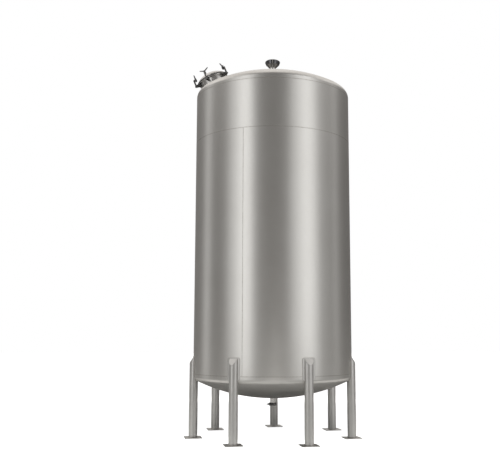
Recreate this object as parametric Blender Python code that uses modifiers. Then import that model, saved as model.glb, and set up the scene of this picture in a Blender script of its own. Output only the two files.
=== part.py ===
"""Vertical stainless steel storage tank with dished ends on seven pipe legs.

Metres, +Z up. The origin is on the floor under the tank's axis, and -Y is the front.
"""

import math

import bmesh
import bpy
from mathutils import Matrix, Vector

# Clearance between pieces that touch
GAP = 0.0003

# Shell and its courses
TANK_RADIUS = 1.2
SHELL_WALL = 0.005
BOTTOM_SEAM = 0.93
MIDDLE_SEAM = 4.457
TOP_SEAM = 5.176
SHELL_FACETS = 64
SHEET_COUNT = 4
SHEET_END_GAP = 0.0008

# Dished ends: crown radius, knuckle radius and straight flange
TOP_DISH = (2.4, 0.100, 0.030)
BOTTOM_DISH = (2.64, 0.060, 0.045)
CROWN_ROWS = 5
KNUCKLE_ROWS = 4

# Legs, counted from the one on the left, an eighth of a step past -X
LEG_COUNT = 7
LEG_STEP = math.tau / LEG_COUNT
LEG_TURN = LEG_STEP / 8
FIRST_LEG = math.pi + LEG_TURN
PIPE_RADIUS = 0.127 / 2
PIPE_WALL = 0.0036
PIPE_SIDES = 24
CAP_WALL = 0.004
LEG_TOP_AT_SHELL = 1.172
LEG_TOP_OUTSIDE = 1.090
FOOT_PLATE_SIDE = 0.25
FOOT_PLATE_THICKNESS = 0.012

# Reinforcing pads behind the legs
PAD_BOTTOM = 0.872
PAD_TOP = 1.187
PAD_WIDTH = 0.195
PAD_THICKNESS = 0.004
PAD_CORNER = 0.03
PAD_FACETS = 4
ENVELOPE_SIDES_PER_LEG = 18

# The vertical seam that shows, a fifth of a right angle left of the front
SEAM_ANGLE = math.radians(-115.9)

# Manway on the roof: heights are above the roof, along the manway's axis
MANWAY_ANGLE = math.radians(174.6)
MANWAY_DISTANCE = 0.90
NECK_RADIUS = 0.225
NECK_WALL = 0.004
NECK_DEPTH = 0.030
NECK_TOP = 0.143
NECK_SIDES = 48
RIM_RADIUS = 0.246
RIM_THICKNESS = 0.010
GASKET_INNER = 0.224
GASKET_OUTER = 0.250
GASKET_THICKNESS = 0.012
LID_RADIUS = 0.252
LID_WALL = 0.004
LID_DISH = (0.34, 0.040, 0)
LID_DISH_RADIUS = 0.230
LID_BOTTOM = NECK_TOP + RIM_THICKNESS + GASKET_THICKNESS + 3 * GAP
LID_TOP = LID_BOTTOM + LID_WALL

# Clamps: a yoke swings on a pivot and carries a wing screw. Heights are above the roof
CLAMP_ANGLES = [math.radians(-40), math.radians(-108), math.radians(-160)]
WING_TURNS = [math.radians(20), math.radians(0), math.radians(-22)]
PIVOT_CIRCLE = 0.306
PIVOT_HEIGHT = 0.118
PIN_RADIUS = 0.006
EYE_RADIUS = 0.017
EYE_WIDTH = 0.024
ROUND_SIDES = 12
YOKE_HALF = 0.011
YOKE_THICKNESS = 0.020
YOKE_TOP = 0.232
SCREW_CIRCLE = 0.274
BOSS_RADIUS = 0.018
BOSS_BOTTOM = 0.203
BOSS_TOP = 0.236
SCREW_RADIUS = 0.0075
FOOT_RADIUS = 0.013
FOOT_BOTTOM = 0.193
FOOT_TOP = 0.201
WING_HUB_RADIUS = 0.014
WING_HUB_TOP = 0.262
WING_ROOT = 0.248
WING_LENGTH = 0.080
WING_SPREAD = math.radians(65)
WING_ROOT_RADIUS = 0.011
WING_TIP_RADIUS = 0.008

# Brackets that carry the clamps
EAR_THICKNESS = 0.007
EAR_CLEARANCE = 0.001
EAR_FOOT = 0.099
EAR_TOP = 0.139
EAR_REACH = 0.015
WEB_THICKNESS = 0.008

# Lid hinge, opposite the middle clamp
HINGE_ANGLE = math.radians(72)
HINGE_CIRCLE = 0.290
HINGE_ARM_INNER = 0.233
HINGE_ARM_THICKNESS = 0.012
HINGE_HEIGHT = LID_TOP + GAP + HINGE_ARM_THICKNESS / 2
HINGE_EYE_RADIUS = 0.013
HINGE_ARM_HALF = 0.019
HINGE_EAR_THICKNESS = 0.008
HINGE_EAR_FOOT = 0.075
HINGE_EAR_STEP = 0.133
HINGE_EAR_INSIDE = 0.258

# Vent in the middle of the roof
VENT_RADIUS = 0.050
VENT_WALL = 0.003
VENT_SIDES = 32
VENT_PIPE_TOP = 5.750
VENT_CONE_TOP = 5.800
VENT_CONE_RADIUS = 0.100
VENT_CAP_WIDEST = 5.843
VENT_CAP_RADIUS = 0.11875
VENT_CAP_TOP = 5.884
VENT_CAP_BAND = 0.006
VENT_CAP_ROWS = 5
NOZZLE_INSIDE = 0.015

# Outlet under the middle of the bottom
OUTLET_RADIUS = 0.038
OUTLET_WALL = 0.002
OUTLET_SIDES = 32
FERRULE_RADIUS = 0.0455
FERRULE_THICKNESS = 0.006
FERRULE_JOINT = 0.466
OUTLET_CAP_BOTTOM = 0.437
CLAMP_RADIUS = 0.060
CLAMP_HALF_HEIGHT = 0.021
CLAMP_WALL = 0.008

STEEL = (0.72, 0.71, 0.69)
DARK_STEEL = (0.20, 0.20, 0.20)
POLISHED = (0.80, 0.80, 0.80)
RUBBER = (0.08, 0.08, 0.08)


def clear_scene():
    for item in list(bpy.data.objects):
        bpy.data.objects.remove(item)


def make_material(name, color, roughness, metallic):
    material = bpy.data.materials.new(name)
    material.use_nodes = True
    shader = material.node_tree.nodes["Principled BSDF"]
    shader.inputs["Base Color"].default_value = (*color, 1)
    shader.inputs["Roughness"].default_value = roughness
    shader.inputs["Metallic"].default_value = metallic
    return material


def make_collection(name):
    collection = bpy.data.collections.new(name)
    bpy.context.scene.collection.children.link(collection)
    return collection


def circumscribed(radius, sides):
    """The corner radius of a polygon whose flat sides lie at this radius."""
    return radius / math.cos(math.pi / sides)


def add_piece(name, mesh, place, collection, material=None):
    """Puts a mesh in the scene as a named piece, shaded smooth up to a crease."""
    piece = bpy.data.objects.new(name, mesh)
    piece.matrix_world = place
    collection.objects.link(piece)
    mesh.shade_smooth()
    mesh.set_sharp_from_angle(angle=math.radians(30))
    if material:
        mesh.materials.clear()
        mesh.materials.append(material)
    return piece


def add_cutter(name, mesh, place, cutters):
    cutter = add_piece(name, mesh, place, cutters)
    cutter.hide_render = True
    cutter.display_type = "WIRE"
    return cutter


def boolean(piece, other, operation):
    modifier = piece.modifiers.new(other.name, "BOOLEAN")
    modifier.object = other
    modifier.operation = operation
    modifier.solver = "EXACT"


def finished_mesh(piece):
    """The piece's mesh with its modifiers applied, as a new mesh."""
    graph = bpy.context.evaluated_depsgraph_get()
    graph.update()
    return bpy.data.meshes.new_from_object(piece.evaluated_get(graph))


def turned(name, profile, sides, place, collection, material=None, closed=True):
    """A profile of (radius, height) points turned round Z. It runs down its outer side."""
    bm = bmesh.new()
    points = [bm.verts.new((radius, 0, height)) for radius, height in profile]
    for first, second in zip(points, points[1:]):
        bm.edges.new((first, second))
    if closed:
        bm.edges.new((points[-1], points[0]))
    mesh = bpy.data.meshes.new(name)
    bm.to_mesh(mesh)
    bm.free()
    piece = add_piece(name, mesh, place, collection, material)
    screw = piece.modifiers.new("Turn", "SCREW")
    screw.steps = sides
    screw.render_steps = sides
    screw.use_merge_vertices = True
    screw.merge_threshold = 0.0001
    screw.use_smooth_shade = True
    return piece


def swept_sector(section, start, sweep, steps):
    """A mesh of a flat section, (radius, height) points, swept part way round Z."""
    bm = bmesh.new()
    turn = Matrix.Rotation(start, 4, "Z")
    corners = [bm.verts.new(turn @ Vector((radius, 0, height))) for radius, height in section]
    face = bm.faces.new(corners)
    geometry = [face, *face.edges, *face.verts]
    bmesh.ops.spin(
        bm, geom=geometry, cent=(0, 0, 0), axis=(0, 0, 1), angle=sweep, steps=steps
    )
    bmesh.ops.recalc_face_normals(bm, faces=bm.faces)
    return bm


def mesh_from(bm, name):
    mesh = bpy.data.meshes.new(name)
    bm.to_mesh(mesh)
    bm.free()
    return mesh


def box_mesh(name, low, high):
    bm = bmesh.new()
    size = [high[axis] - low[axis] for axis in range(3)]
    middle = [(high[axis] + low[axis]) / 2 for axis in range(3)]
    place = Matrix.Translation(middle) @ Matrix.Diagonal((*size, 1))
    bmesh.ops.create_cube(bm, size=1, matrix=place)
    return mesh_from(bm, name)


def rod_mesh(name, start, end, radius, sides, end_radius=None):
    """A straight round rod between two points."""
    start, end = Vector(start), Vector(end)
    direction = end - start
    turn = direction.to_track_quat("Z", "X").to_matrix().to_4x4()
    bm = bmesh.new()
    bmesh.ops.create_cone(
        bm,
        cap_ends=True,
        segments=sides,
        radius1=radius,
        radius2=radius if end_radius is None else end_radius,
        depth=direction.length,
        matrix=Matrix.Translation((start + end) / 2) @ turn,
    )
    return mesh_from(bm, name)


def plate_mesh(name, outline, low, high):
    """A flat outline of (x, z) points, given a thickness from low to high along Y."""
    bm = bmesh.new()
    face = bm.faces.new([bm.verts.new((x, low, z)) for x, z in outline])
    side = bmesh.ops.extrude_face_region(bm, geom=[face])
    moved = [item for item in side["geom"] if isinstance(item, bmesh.types.BMVert)]
    bmesh.ops.translate(bm, verts=moved, vec=(0, high - low, 0))
    bmesh.ops.recalc_face_normals(bm, faces=bm.faces)
    return mesh_from(bm, name)


def dish_profile(radius, crown, knuckle, flange, hole):
    """(radius, depth) points of a dished end, from its edge to the hole in its middle."""
    junction = math.asin((radius - knuckle) / (crown - knuckle))
    centre = flange + (knuckle - crown) * math.cos(junction)
    points = [(radius, 0)]
    for row in range(KNUCKLE_ROWS + 1):
        angle = (math.pi / 2 - junction) * row / KNUCKLE_ROWS
        points.append(
            (radius - knuckle + knuckle * math.cos(angle), flange + knuckle * math.sin(angle))
        )
    last = math.asin(hole / crown)
    for row in range(1, CROWN_ROWS + 1):
        angle = junction + (last - junction) * row / CROWN_ROWS
        points.append((crown * math.sin(angle), centre + crown * math.cos(angle)))
    return points


def dish_walls(dish, hole):
    """The outer and inner profiles of a dished end of the shell's thickness."""
    crown, knuckle, flange = dish
    outer = dish_profile(TANK_RADIUS, crown, knuckle, flange, hole)
    inner = dish_profile(
        TANK_RADIUS - SHELL_WALL, crown - SHELL_WALL, knuckle - SHELL_WALL, flange, hole
    )
    return outer, inner


def roof_height(distance):
    crown, knuckle, flange = TOP_DISH
    junction = math.asin((TANK_RADIUS - knuckle) / (crown - knuckle))
    centre = TOP_SEAM + flange + (knuckle - crown) * math.cos(junction)
    return centre + math.sqrt(crown**2 - distance**2)


def shell_frame():
    """The shell's facets start at the vertical seam that shows."""
    return Matrix.Rotation(SEAM_ANGLE, 4, "Z")


def make_shell(collection, steel):
    inside = TANK_RADIUS - SHELL_WALL
    low, high = BOTTOM_SEAM + GAP, MIDDLE_SEAM
    section = [(inside, low), (TANK_RADIUS, low), (TANK_RADIUS, high), (inside, high)]
    sweep = math.tau / SHEET_COUNT
    trim = SHEET_END_GAP / TANK_RADIUS
    for number in range(SHEET_COUNT):
        start = SEAM_ANGLE + number * sweep + trim / 2
        bm = swept_sector(section, start, sweep - trim, SHELL_FACETS // SHEET_COUNT)
        name = f"shell_sheet_{number + 1}"
        add_piece(name, mesh_from(bm, name), Matrix(), collection, steel)
    low, high = MIDDLE_SEAM + GAP, TOP_SEAM
    band = [(TANK_RADIUS, high), (TANK_RADIUS, low), (inside, low), (inside, high)]
    turned("shell_upper_course", band, SHELL_FACETS, shell_frame(), collection, steel)


def make_heads(collection, cutters, steel, manway):
    hole = circumscribed(VENT_RADIUS + GAP, SHELL_FACETS)
    outer, inner = dish_walls(TOP_DISH, hole)
    seat = TOP_SEAM + GAP
    upper = [(radius, seat + depth) for radius, depth in reversed(outer)]
    upper += [(radius, seat + depth) for radius, depth in inner]
    top = turned("top_head", upper, SHELL_FACETS, shell_frame(), collection, steel)
    reach = NECK_TOP
    radius = circumscribed(NECK_RADIUS + GAP, NECK_SIDES)
    hole_mesh = rod_mesh("manway_hole", (0, 0, -reach), (0, 0, reach), radius, NECK_SIDES)
    boolean(top, add_cutter("manway_hole", hole_mesh, manway, cutters), "DIFFERENCE")

    hole = circumscribed(OUTLET_RADIUS + GAP, SHELL_FACETS)
    outer, inner = dish_walls(BOTTOM_DISH, hole)
    lower = [(radius, BOTTOM_SEAM - depth) for radius, depth in outer]
    lower += [(radius, BOTTOM_SEAM - depth) for radius, depth in reversed(inner)]
    turned("bottom_head", lower, SHELL_FACETS, shell_frame(), collection, steel)


def tank_envelope(cutters):
    """What a leg is coped to: the pad on the shell, and the bottom under it."""
    crown, knuckle, flange = BOTTOM_DISH
    sides = LEG_COUNT * ENVELOPE_SIDES_PER_LEG
    outer = dish_profile(
        TANK_RADIUS + GAP, crown + GAP, knuckle + GAP, flange, OUTLET_RADIUS
    )
    pad_face = TANK_RADIUS + 3 * GAP + PAD_THICKNESS
    below = [(radius, BOTTOM_SEAM - depth) for radius, depth in outer]
    under_pad = [point for point in below if point[1] < PAD_BOTTOM - GAP]
    profile = [(0, PAD_TOP + PAD_CORNER), (pad_face, PAD_TOP + PAD_CORNER)]
    profile += [(pad_face, PAD_BOTTOM - GAP), (TANK_RADIUS, PAD_BOTTOM - GAP)]
    profile += under_pad
    profile += [(0, under_pad[-1][1])]
    profile = [(circumscribed(radius, sides), height) for radius, height in profile]
    place = Matrix.Rotation(math.pi / sides, 4, "Z")
    cutter = turned("tank_envelope", profile, sides, place, cutters, closed=False)
    cutter.hide_render = True
    cutter.display_type = "WIRE"
    return cutter


def sloping_pipe(name, radius, bottom, lowered, cutters):
    """A solid leg pipe on +X whose top is cut off along a slope."""
    bm = bmesh.new()
    height = PAD_TOP - bottom
    place = Matrix.Translation((TANK_RADIUS, 0, bottom + height / 2))
    bmesh.ops.create_cone(
        bm,
        cap_ends=True,
        segments=PIPE_SIDES,
        radius1=radius,
        radius2=radius,
        depth=height,
        matrix=place,
    )
    run = PIPE_RADIUS - PAD_THICKNESS
    slope = Vector((LEG_TOP_AT_SHELL - LEG_TOP_OUTSIDE, 0, run)).normalized()
    outer_edge = Vector((TANK_RADIUS + PIPE_RADIUS, 0, LEG_TOP_OUTSIDE))
    cut = bmesh.ops.bisect_plane(
        bm,
        geom=[*bm.verts, *bm.edges, *bm.faces],
        dist=0.00001,
        plane_co=outer_edge - slope * lowered,
        plane_no=slope,
        clear_outer=True,
    )
    edges = [item for item in cut["geom_cut"] if isinstance(item, bmesh.types.BMEdge)]
    bmesh.ops.contextual_create(bm, geom=edges)
    bmesh.ops.recalc_face_normals(bm, faces=bm.faces)
    return add_cutter(name, mesh_from(bm, name), Matrix(), cutters)


def make_legs(collection, cutters, steel):
    pipe = sloping_pipe("leg_outside", PIPE_RADIUS, FOOT_PLATE_THICKNESS + GAP, 0, cutters)
    hollow = sloping_pipe("leg_inside", PIPE_RADIUS - PIPE_WALL, 0, CAP_WALL, cutters)
    boolean(pipe, hollow, "DIFFERENCE")
    boolean(pipe, tank_envelope(cutters), "DIFFERENCE")
    coped = finished_mesh(pipe)
    for number in range(LEG_COUNT):
        angle = FIRST_LEG + number * LEG_STEP
        place = Matrix.Rotation(angle, 4, "Z")
        add_piece(f"leg_{number + 1}", coped.copy(), place, collection, steel)
        centre = place @ Vector((TANK_RADIUS, 0, 0))
        half = FOOT_PLATE_SIDE / 2
        low, high = (-half, -half, 0), (half, half, FOOT_PLATE_THICKNESS)
        foot = Matrix.Translation(centre) @ Matrix.Rotation(LEG_TURN, 4, "Z")
        name = f"foot_plate_{number + 1}"
        add_piece(name, box_mesh(name, low, high), foot, collection, steel)


def make_pads(collection, steel):
    """Seven rolled plates with rounded corners, one behind each leg."""
    sweep = PAD_WIDTH / TANK_RADIUS
    stretch = 1 / math.cos(sweep / PAD_FACETS / 2)
    inside = (TANK_RADIUS + GAP) * stretch
    outside = inside + PAD_THICKNESS * stretch
    section = [
        (inside, PAD_BOTTOM),
        (outside, PAD_BOTTOM),
        (outside, PAD_TOP),
        (inside, PAD_TOP),
    ]
    bm = swept_sector(section, -sweep / 2, sweep, PAD_FACETS)
    corners = [edge for edge in bm.edges if is_pad_corner(edge, sweep)]
    bmesh.ops.bevel(
        bm,
        geom=corners,
        offset=PAD_CORNER,
        segments=3,
        profile=0.5,
        affect="EDGES",
        material=-1,
    )
    pad = mesh_from(bm, "leg_pad")
    for number in range(LEG_COUNT):
        place = Matrix.Rotation(FIRST_LEG + number * LEG_STEP, 4, "Z")
        add_piece(f"leg_pad_{number + 1}", pad.copy(), place, collection, steel)


def is_pad_corner(edge, sweep):
    """True for the short edges through the plate's thickness at its four corners."""
    first, second = (vert.co for vert in edge.verts)
    if abs(first.z - second.z) > GAP or (first - second).length > 2 * PAD_THICKNESS:
        return False
    middle = (first + second) / 2
    return abs(abs(math.atan2(middle.y, middle.x)) - sweep / 2) < sweep / 20


def manway_place():
    """Z is the manway's axis, square to the roof, and X points up the roof's slope."""
    slope = math.asin(MANWAY_DISTANCE / TOP_DISH[0])
    height = roof_height(MANWAY_DISTANCE) + GAP
    return (
        Matrix.Rotation(MANWAY_ANGLE, 4, "Z")
        @ Matrix.Translation((MANWAY_DISTANCE, 0, height))
        @ Matrix.Rotation(slope, 4, "Y")
        @ Matrix.Rotation(math.pi, 4, "Z")
    )


def ring_profile(inside, outside, low, high):
    return [(outside, high), (outside, low), (inside, low), (inside, high)]


def make_manway(collection, manway, steel, rubber):
    inside = NECK_RADIUS - NECK_WALL
    neck = ring_profile(inside, NECK_RADIUS, -NECK_DEPTH, NECK_TOP)
    turned("manway_neck", neck, NECK_SIDES, manway, collection, steel)
    low = NECK_TOP + GAP
    rim = ring_profile(inside, RIM_RADIUS, low, low + RIM_THICKNESS)
    turned("manway_rim", rim, NECK_SIDES, manway, collection, steel)
    low += RIM_THICKNESS + GAP
    gasket = ring_profile(GASKET_INNER, GASKET_OUTER, low, low + GASKET_THICKNESS)
    turned("manway_gasket", gasket, NECK_SIDES, manway, collection, rubber)
    crown, knuckle, flange = LID_DISH
    inside = LID_DISH_RADIUS - LID_WALL
    outer = dish_profile(LID_DISH_RADIUS, crown, knuckle, flange, 0)
    inner = dish_profile(inside, crown - LID_WALL, knuckle - LID_WALL, flange, 0)
    profile = [(radius, LID_TOP + depth) for radius, depth in reversed(outer)]
    profile += [(LID_RADIUS, LID_TOP), (LID_RADIUS, LID_BOTTOM), (inside, LID_BOTTOM)]
    profile += [(radius, LID_TOP + depth) for radius, depth in inner]
    turned("manway_lid", profile, NECK_SIDES, manway, collection, steel, closed=False)


def around_manway(manway, angle):
    """X points out from the manway's axis here, and Y goes round it."""
    return manway @ Matrix.Rotation(angle, 4, "Z")


def make_clamp(number, collection, cutters, manway, dark):
    """A yoke with an eye on the pivot, and a wing screw in its boss over the lid's edge."""
    place = around_manway(manway, CLAMP_ANGLES[number])
    label = number + 1
    half = EYE_WIDTH / 2
    pivot = [Vector((PIVOT_CIRCLE, side * half, PIVOT_HEIGHT)) for side in (-1, 1)]
    eye = rod_mesh("eye", pivot[0], pivot[1], EYE_RADIUS, 2 * ROUND_SIDES)
    yoke = add_piece(f"clamp_yoke_{label}", eye, place, collection, dark)
    outside, within = PIVOT_CIRCLE + YOKE_HALF, PIVOT_CIRCLE - YOKE_HALF
    outline = [
        (within, PIVOT_HEIGHT),
        (outside, PIVOT_HEIGHT),
        (outside, YOKE_TOP - YOKE_HALF),
        (outside - YOKE_HALF, YOKE_TOP),
        (SCREW_CIRCLE, YOKE_TOP),
        (SCREW_CIRCLE, YOKE_TOP - 2 * YOKE_HALF),
        (within, YOKE_TOP - 2 * YOKE_HALF),
    ]
    bar = plate_mesh("bar", outline, -YOKE_THICKNESS / 2, YOKE_THICKNESS / 2)
    boolean(yoke, add_cutter(f"bar_{label}", bar, place, cutters), "UNION")
    bottom, top = (SCREW_CIRCLE, 0, BOSS_BOTTOM), (SCREW_CIRCLE, 0, BOSS_TOP)
    boss = rod_mesh("boss", bottom, top, BOSS_RADIUS, 2 * ROUND_SIDES)
    boolean(yoke, add_cutter(f"boss_{label}", boss, place, cutters), "UNION")
    radius = circumscribed(PIN_RADIUS + GAP, ROUND_SIDES)
    hole = rod_mesh("pin_hole", pivot[0] * 2 - pivot[1], pivot[1] * 2 - pivot[0], radius, ROUND_SIDES)
    boolean(yoke, add_cutter(f"pin_hole_{label}", hole, place, cutters), "DIFFERENCE")
    radius = circumscribed(SCREW_RADIUS + GAP, ROUND_SIDES)
    below, above = (SCREW_CIRCLE, 0, FOOT_BOTTOM), (SCREW_CIRCLE, 0, WING_HUB_TOP)
    thread = rod_mesh("thread", below, above, radius, ROUND_SIDES)
    boolean(yoke, add_cutter(f"thread_{label}", thread, place, cutters), "DIFFERENCE")

    screw = rod_mesh("screw", below, above, SCREW_RADIUS, ROUND_SIDES)
    screw = add_piece(f"wing_screw_{label}", screw, place, collection, dark)
    foot = rod_mesh("foot", below, (SCREW_CIRCLE, 0, FOOT_TOP), FOOT_RADIUS, ROUND_SIDES)
    seat = (SCREW_CIRCLE, 0, BOSS_TOP + GAP)
    hub = rod_mesh("hub", seat, above, WING_HUB_RADIUS, ROUND_SIDES)
    parts = {"foot": foot, "wing_hub": hub}
    root = Vector((SCREW_CIRCLE, 0, WING_ROOT))
    for side, word in ((-1, "left_wing"), (1, "right_wing")):
        tip = Vector((0, side * math.sin(WING_SPREAD), math.cos(WING_SPREAD)))
        tip = root + Matrix.Rotation(WING_TURNS[number], 3, "Z") @ tip * WING_LENGTH
        parts[word] = rod_mesh(word, root, tip, WING_ROOT_RADIUS, 8, WING_TIP_RADIUS)
    for word, mesh in parts.items():
        boolean(screw, add_cutter(f"{word}_{label}", mesh, place, cutters), "UNION")


def cut_to_neck(piece, manway, cutters):
    """Hollows the foot of a bracket to the neck that it is welded to."""
    radius = circumscribed(NECK_RADIUS + GAP, NECK_SIDES)
    mesh = rod_mesh("neck", (0, 0, -NECK_TOP), (0, 0, 2 * NECK_TOP), radius, NECK_SIDES)
    cutter = add_cutter(f"neck_for_{piece.name}", mesh, manway, cutters)
    boolean(piece, cutter, "DIFFERENCE")


def make_clamp_bracket(number, collection, cutters, manway, steel):
    """A web on the neck, two tapered ears and the pin through them."""
    inner = EYE_WIDTH / 2 + EAR_CLEARANCE
    outer = inner + EAR_THICKNESS
    foot = NECK_RADIUS - NECK_WALL
    web_face = NECK_RADIUS + WEB_THICKNESS
    label = number + 1
    place = around_manway(manway, CLAMP_ANGLES[number])
    web = box_mesh("web", (foot, -outer, EAR_FOOT), (web_face, outer, EAR_TOP))
    bracket = add_piece(f"clamp_bracket_{label}", web, place, collection, steel)
    half = EAR_REACH / 2
    outline = [
        (foot, EAR_TOP),
        (foot, EAR_FOOT),
        (web_face, EAR_FOOT),
        (PIVOT_CIRCLE + half, PIVOT_HEIGHT - EAR_REACH),
        (PIVOT_CIRCLE + EAR_REACH, PIVOT_HEIGHT - half),
        (PIVOT_CIRCLE + EAR_REACH, PIVOT_HEIGHT + half),
        (PIVOT_CIRCLE + half, PIVOT_HEIGHT + EAR_REACH),
        (PIVOT_CIRCLE - EAR_REACH, EAR_TOP),
    ]
    for side, word in ((-1, "left"), (1, "right")):
        near, far = sorted((side * inner, side * outer))
        ear = plate_mesh("ear", outline, near, far)
        cutter = add_cutter(f"ear_{word}_{label}", ear, place, cutters)
        boolean(bracket, cutter, "UNION")
    start, end = ((PIVOT_CIRCLE, side * outer, PIVOT_HEIGHT) for side in (-1, 1))
    pin = rod_mesh("pin", start, end, PIN_RADIUS, ROUND_SIDES)
    boolean(bracket, add_cutter(f"pin_{label}", pin, place, cutters), "UNION")
    cut_to_neck(bracket, manway, cutters)


def make_lid_hinge(collection, cutters, manway, steel):
    place = around_manway(manway, HINGE_ANGLE)
    half = HINGE_ARM_HALF
    outer = half + EAR_CLEARANCE + HINGE_EAR_THICKNESS
    outside = HINGE_CIRCLE + HINGE_EYE_RADIUS
    top = HINGE_HEIGHT + HINGE_EYE_RADIUS
    foot = NECK_RADIUS - NECK_WALL

    low = (foot, -outer, HINGE_EAR_FOOT)
    high = (NECK_RADIUS + WEB_THICKNESS, outer, HINGE_EAR_STEP)
    bracket = add_piece(
        "hinge_bracket", box_mesh("hinge_web", low, high), place, collection, steel
    )
    ear_outline = [
        (foot, HINGE_EAR_FOOT),
        (HINGE_EAR_INSIDE, HINGE_EAR_FOOT),
        (outside, HINGE_EAR_STEP),
        (outside, top),
        (HINGE_CIRCLE - HINGE_EYE_RADIUS, top),
        (HINGE_EAR_INSIDE, HINGE_EAR_STEP),
        (foot, HINGE_EAR_STEP),
    ]
    for side in (-1, 1):
        near, far = sorted((side * (half + EAR_CLEARANCE), side * outer))
        ear = plate_mesh("hinge_ear", ear_outline, near, far)
        word = "left" if side < 0 else "right"
        boolean(bracket, add_cutter(f"hinge_ear_{word}", ear, place, cutters), "UNION")
    cut_to_neck(bracket, manway, cutters)
    axis = [(HINGE_CIRCLE, side * outer, HINGE_HEIGHT) for side in (-1, 1)]
    hole_radius = circumscribed(PIN_RADIUS + GAP, ROUND_SIDES)
    past = [(HINGE_CIRCLE, side * 2 * outer, HINGE_HEIGHT) for side in (-1, 1)]
    hole = rod_mesh("hinge_hole", past[0], past[1], hole_radius, ROUND_SIDES)
    hole = add_cutter("hinge_hole", hole, place, cutters)
    boolean(bracket, hole, "DIFFERENCE")

    pin = rod_mesh("hinge_pin", axis[0], axis[1], PIN_RADIUS, ROUND_SIDES)
    add_piece("hinge_pin", pin, place, collection, steel)

    low = LID_TOP + GAP
    near, far = (HINGE_ARM_INNER, -half, low), (HINGE_CIRCLE, half, low + HINGE_ARM_THICKNESS)
    arm = add_piece("hinge_arm", box_mesh("strap", near, far), place, collection, steel)
    ends = [(HINGE_CIRCLE, side * half, HINGE_HEIGHT) for side in (-1, 1)]
    eye = rod_mesh("hinge_eye", ends[0], ends[1], HINGE_EYE_RADIUS, 2 * ROUND_SIDES)
    boolean(arm, add_cutter("hinge_eye", eye, place, cutters), "UNION")
    boolean(arm, hole, "DIFFERENCE")


def make_vent(collection, steel, polished):
    """A pipe through the roof, a flared cone on it and a domed cap."""
    under_roof = roof_height(0) - NOZZLE_INSIDE
    inside = VENT_RADIUS - VENT_WALL
    pipe = ring_profile(inside, VENT_RADIUS, under_roof, VENT_PIPE_TOP)
    turned("vent_nozzle", pipe, VENT_SIDES, Matrix(), collection, steel)
    low, high = VENT_PIPE_TOP + GAP, VENT_CONE_TOP
    cone = [
        (VENT_CONE_RADIUS, high),
        (VENT_RADIUS, low),
        (inside, low),
        (VENT_CONE_RADIUS - VENT_WALL, high),
    ]
    turned("vent_cone", cone, VENT_SIDES, Matrix(), collection, steel)
    low = VENT_CONE_TOP + GAP
    outer = vent_cap_profile(0)
    inner = vent_cap_profile(VENT_WALL)
    lip = [(VENT_CONE_RADIUS + VENT_WALL, low), (VENT_CONE_RADIUS - VENT_WALL, low)]
    cap = outer + lip + inner[::-1]
    turned("vent_cap", cap, VENT_SIDES, Matrix(), collection, polished, closed=False)


def vent_cap_profile(inset):
    """(radius, height) points of the domed cap, from its top down past its widest place."""
    radius = VENT_CAP_RADIUS - inset
    top = VENT_CAP_TOP - inset
    rise = top - VENT_CAP_WIDEST - VENT_CAP_BAND
    points = []
    for row in range(VENT_CAP_ROWS + 1):
        angle = math.pi / 2 * row / VENT_CAP_ROWS
        points.append((radius * math.sin(angle), top - rise * (1 - math.cos(angle))))
    points.append((radius, VENT_CAP_WIDEST - VENT_CAP_BAND))
    return points


def make_outlet(collection, steel, dark):
    """A stub with a ferrule, closed by a blank cap in a clamp."""
    crown, knuckle, flange = BOTTOM_DISH
    apex = BOTTOM_SEAM - dish_profile(TANK_RADIUS, crown, knuckle, flange, 0)[-1][1]
    bore = OUTLET_RADIUS - OUTLET_WALL
    neck = FERRULE_JOINT + FERRULE_THICKNESS
    stub = [
        (OUTLET_RADIUS, apex + NOZZLE_INSIDE),
        (OUTLET_RADIUS, neck + OUTLET_WALL),
        (FERRULE_RADIUS, neck),
        (FERRULE_RADIUS, FERRULE_JOINT),
        (bore, FERRULE_JOINT),
        (bore, apex + NOZZLE_INSIDE),
    ]
    turned("outlet_nozzle", stub, OUTLET_SIDES, Matrix(), collection, steel)
    top = FERRULE_JOINT - GAP
    cap = [
        (0, top),
        (FERRULE_RADIUS, top),
        (FERRULE_RADIUS, top - FERRULE_THICKNESS),
        (OUTLET_RADIUS, top - FERRULE_THICKNESS - OUTLET_WALL),
        (OUTLET_RADIUS, OUTLET_CAP_BOTTOM),
        (0, OUTLET_CAP_BOTTOM),
    ]
    turned("outlet_cap", cap, OUTLET_SIDES, Matrix(), collection, steel, closed=False)
    groove = FERRULE_THICKNESS + OUTLET_WALL + 2 * GAP
    lip = circumscribed(OUTLET_RADIUS + 2 * GAP, OUTLET_SIDES)
    root = circumscribed(FERRULE_RADIUS + 2 * GAP, OUTLET_SIDES)
    high, low = FERRULE_JOINT + CLAMP_HALF_HEIGHT, FERRULE_JOINT - CLAMP_HALF_HEIGHT
    clamp = [
        (CLAMP_RADIUS - CLAMP_WALL, high),
        (CLAMP_RADIUS, high - CLAMP_WALL),
        (CLAMP_RADIUS, low + CLAMP_WALL),
        (CLAMP_RADIUS - CLAMP_WALL, low),
        (lip, low),
        (lip, FERRULE_JOINT - groove),
        (root, FERRULE_JOINT - groove),
        (root, FERRULE_JOINT + groove),
        (lip, FERRULE_JOINT + groove),
        (lip, high),
    ]
    turned("outlet_clamp", clamp, OUTLET_SIDES, Matrix(), collection, dark)


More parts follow.
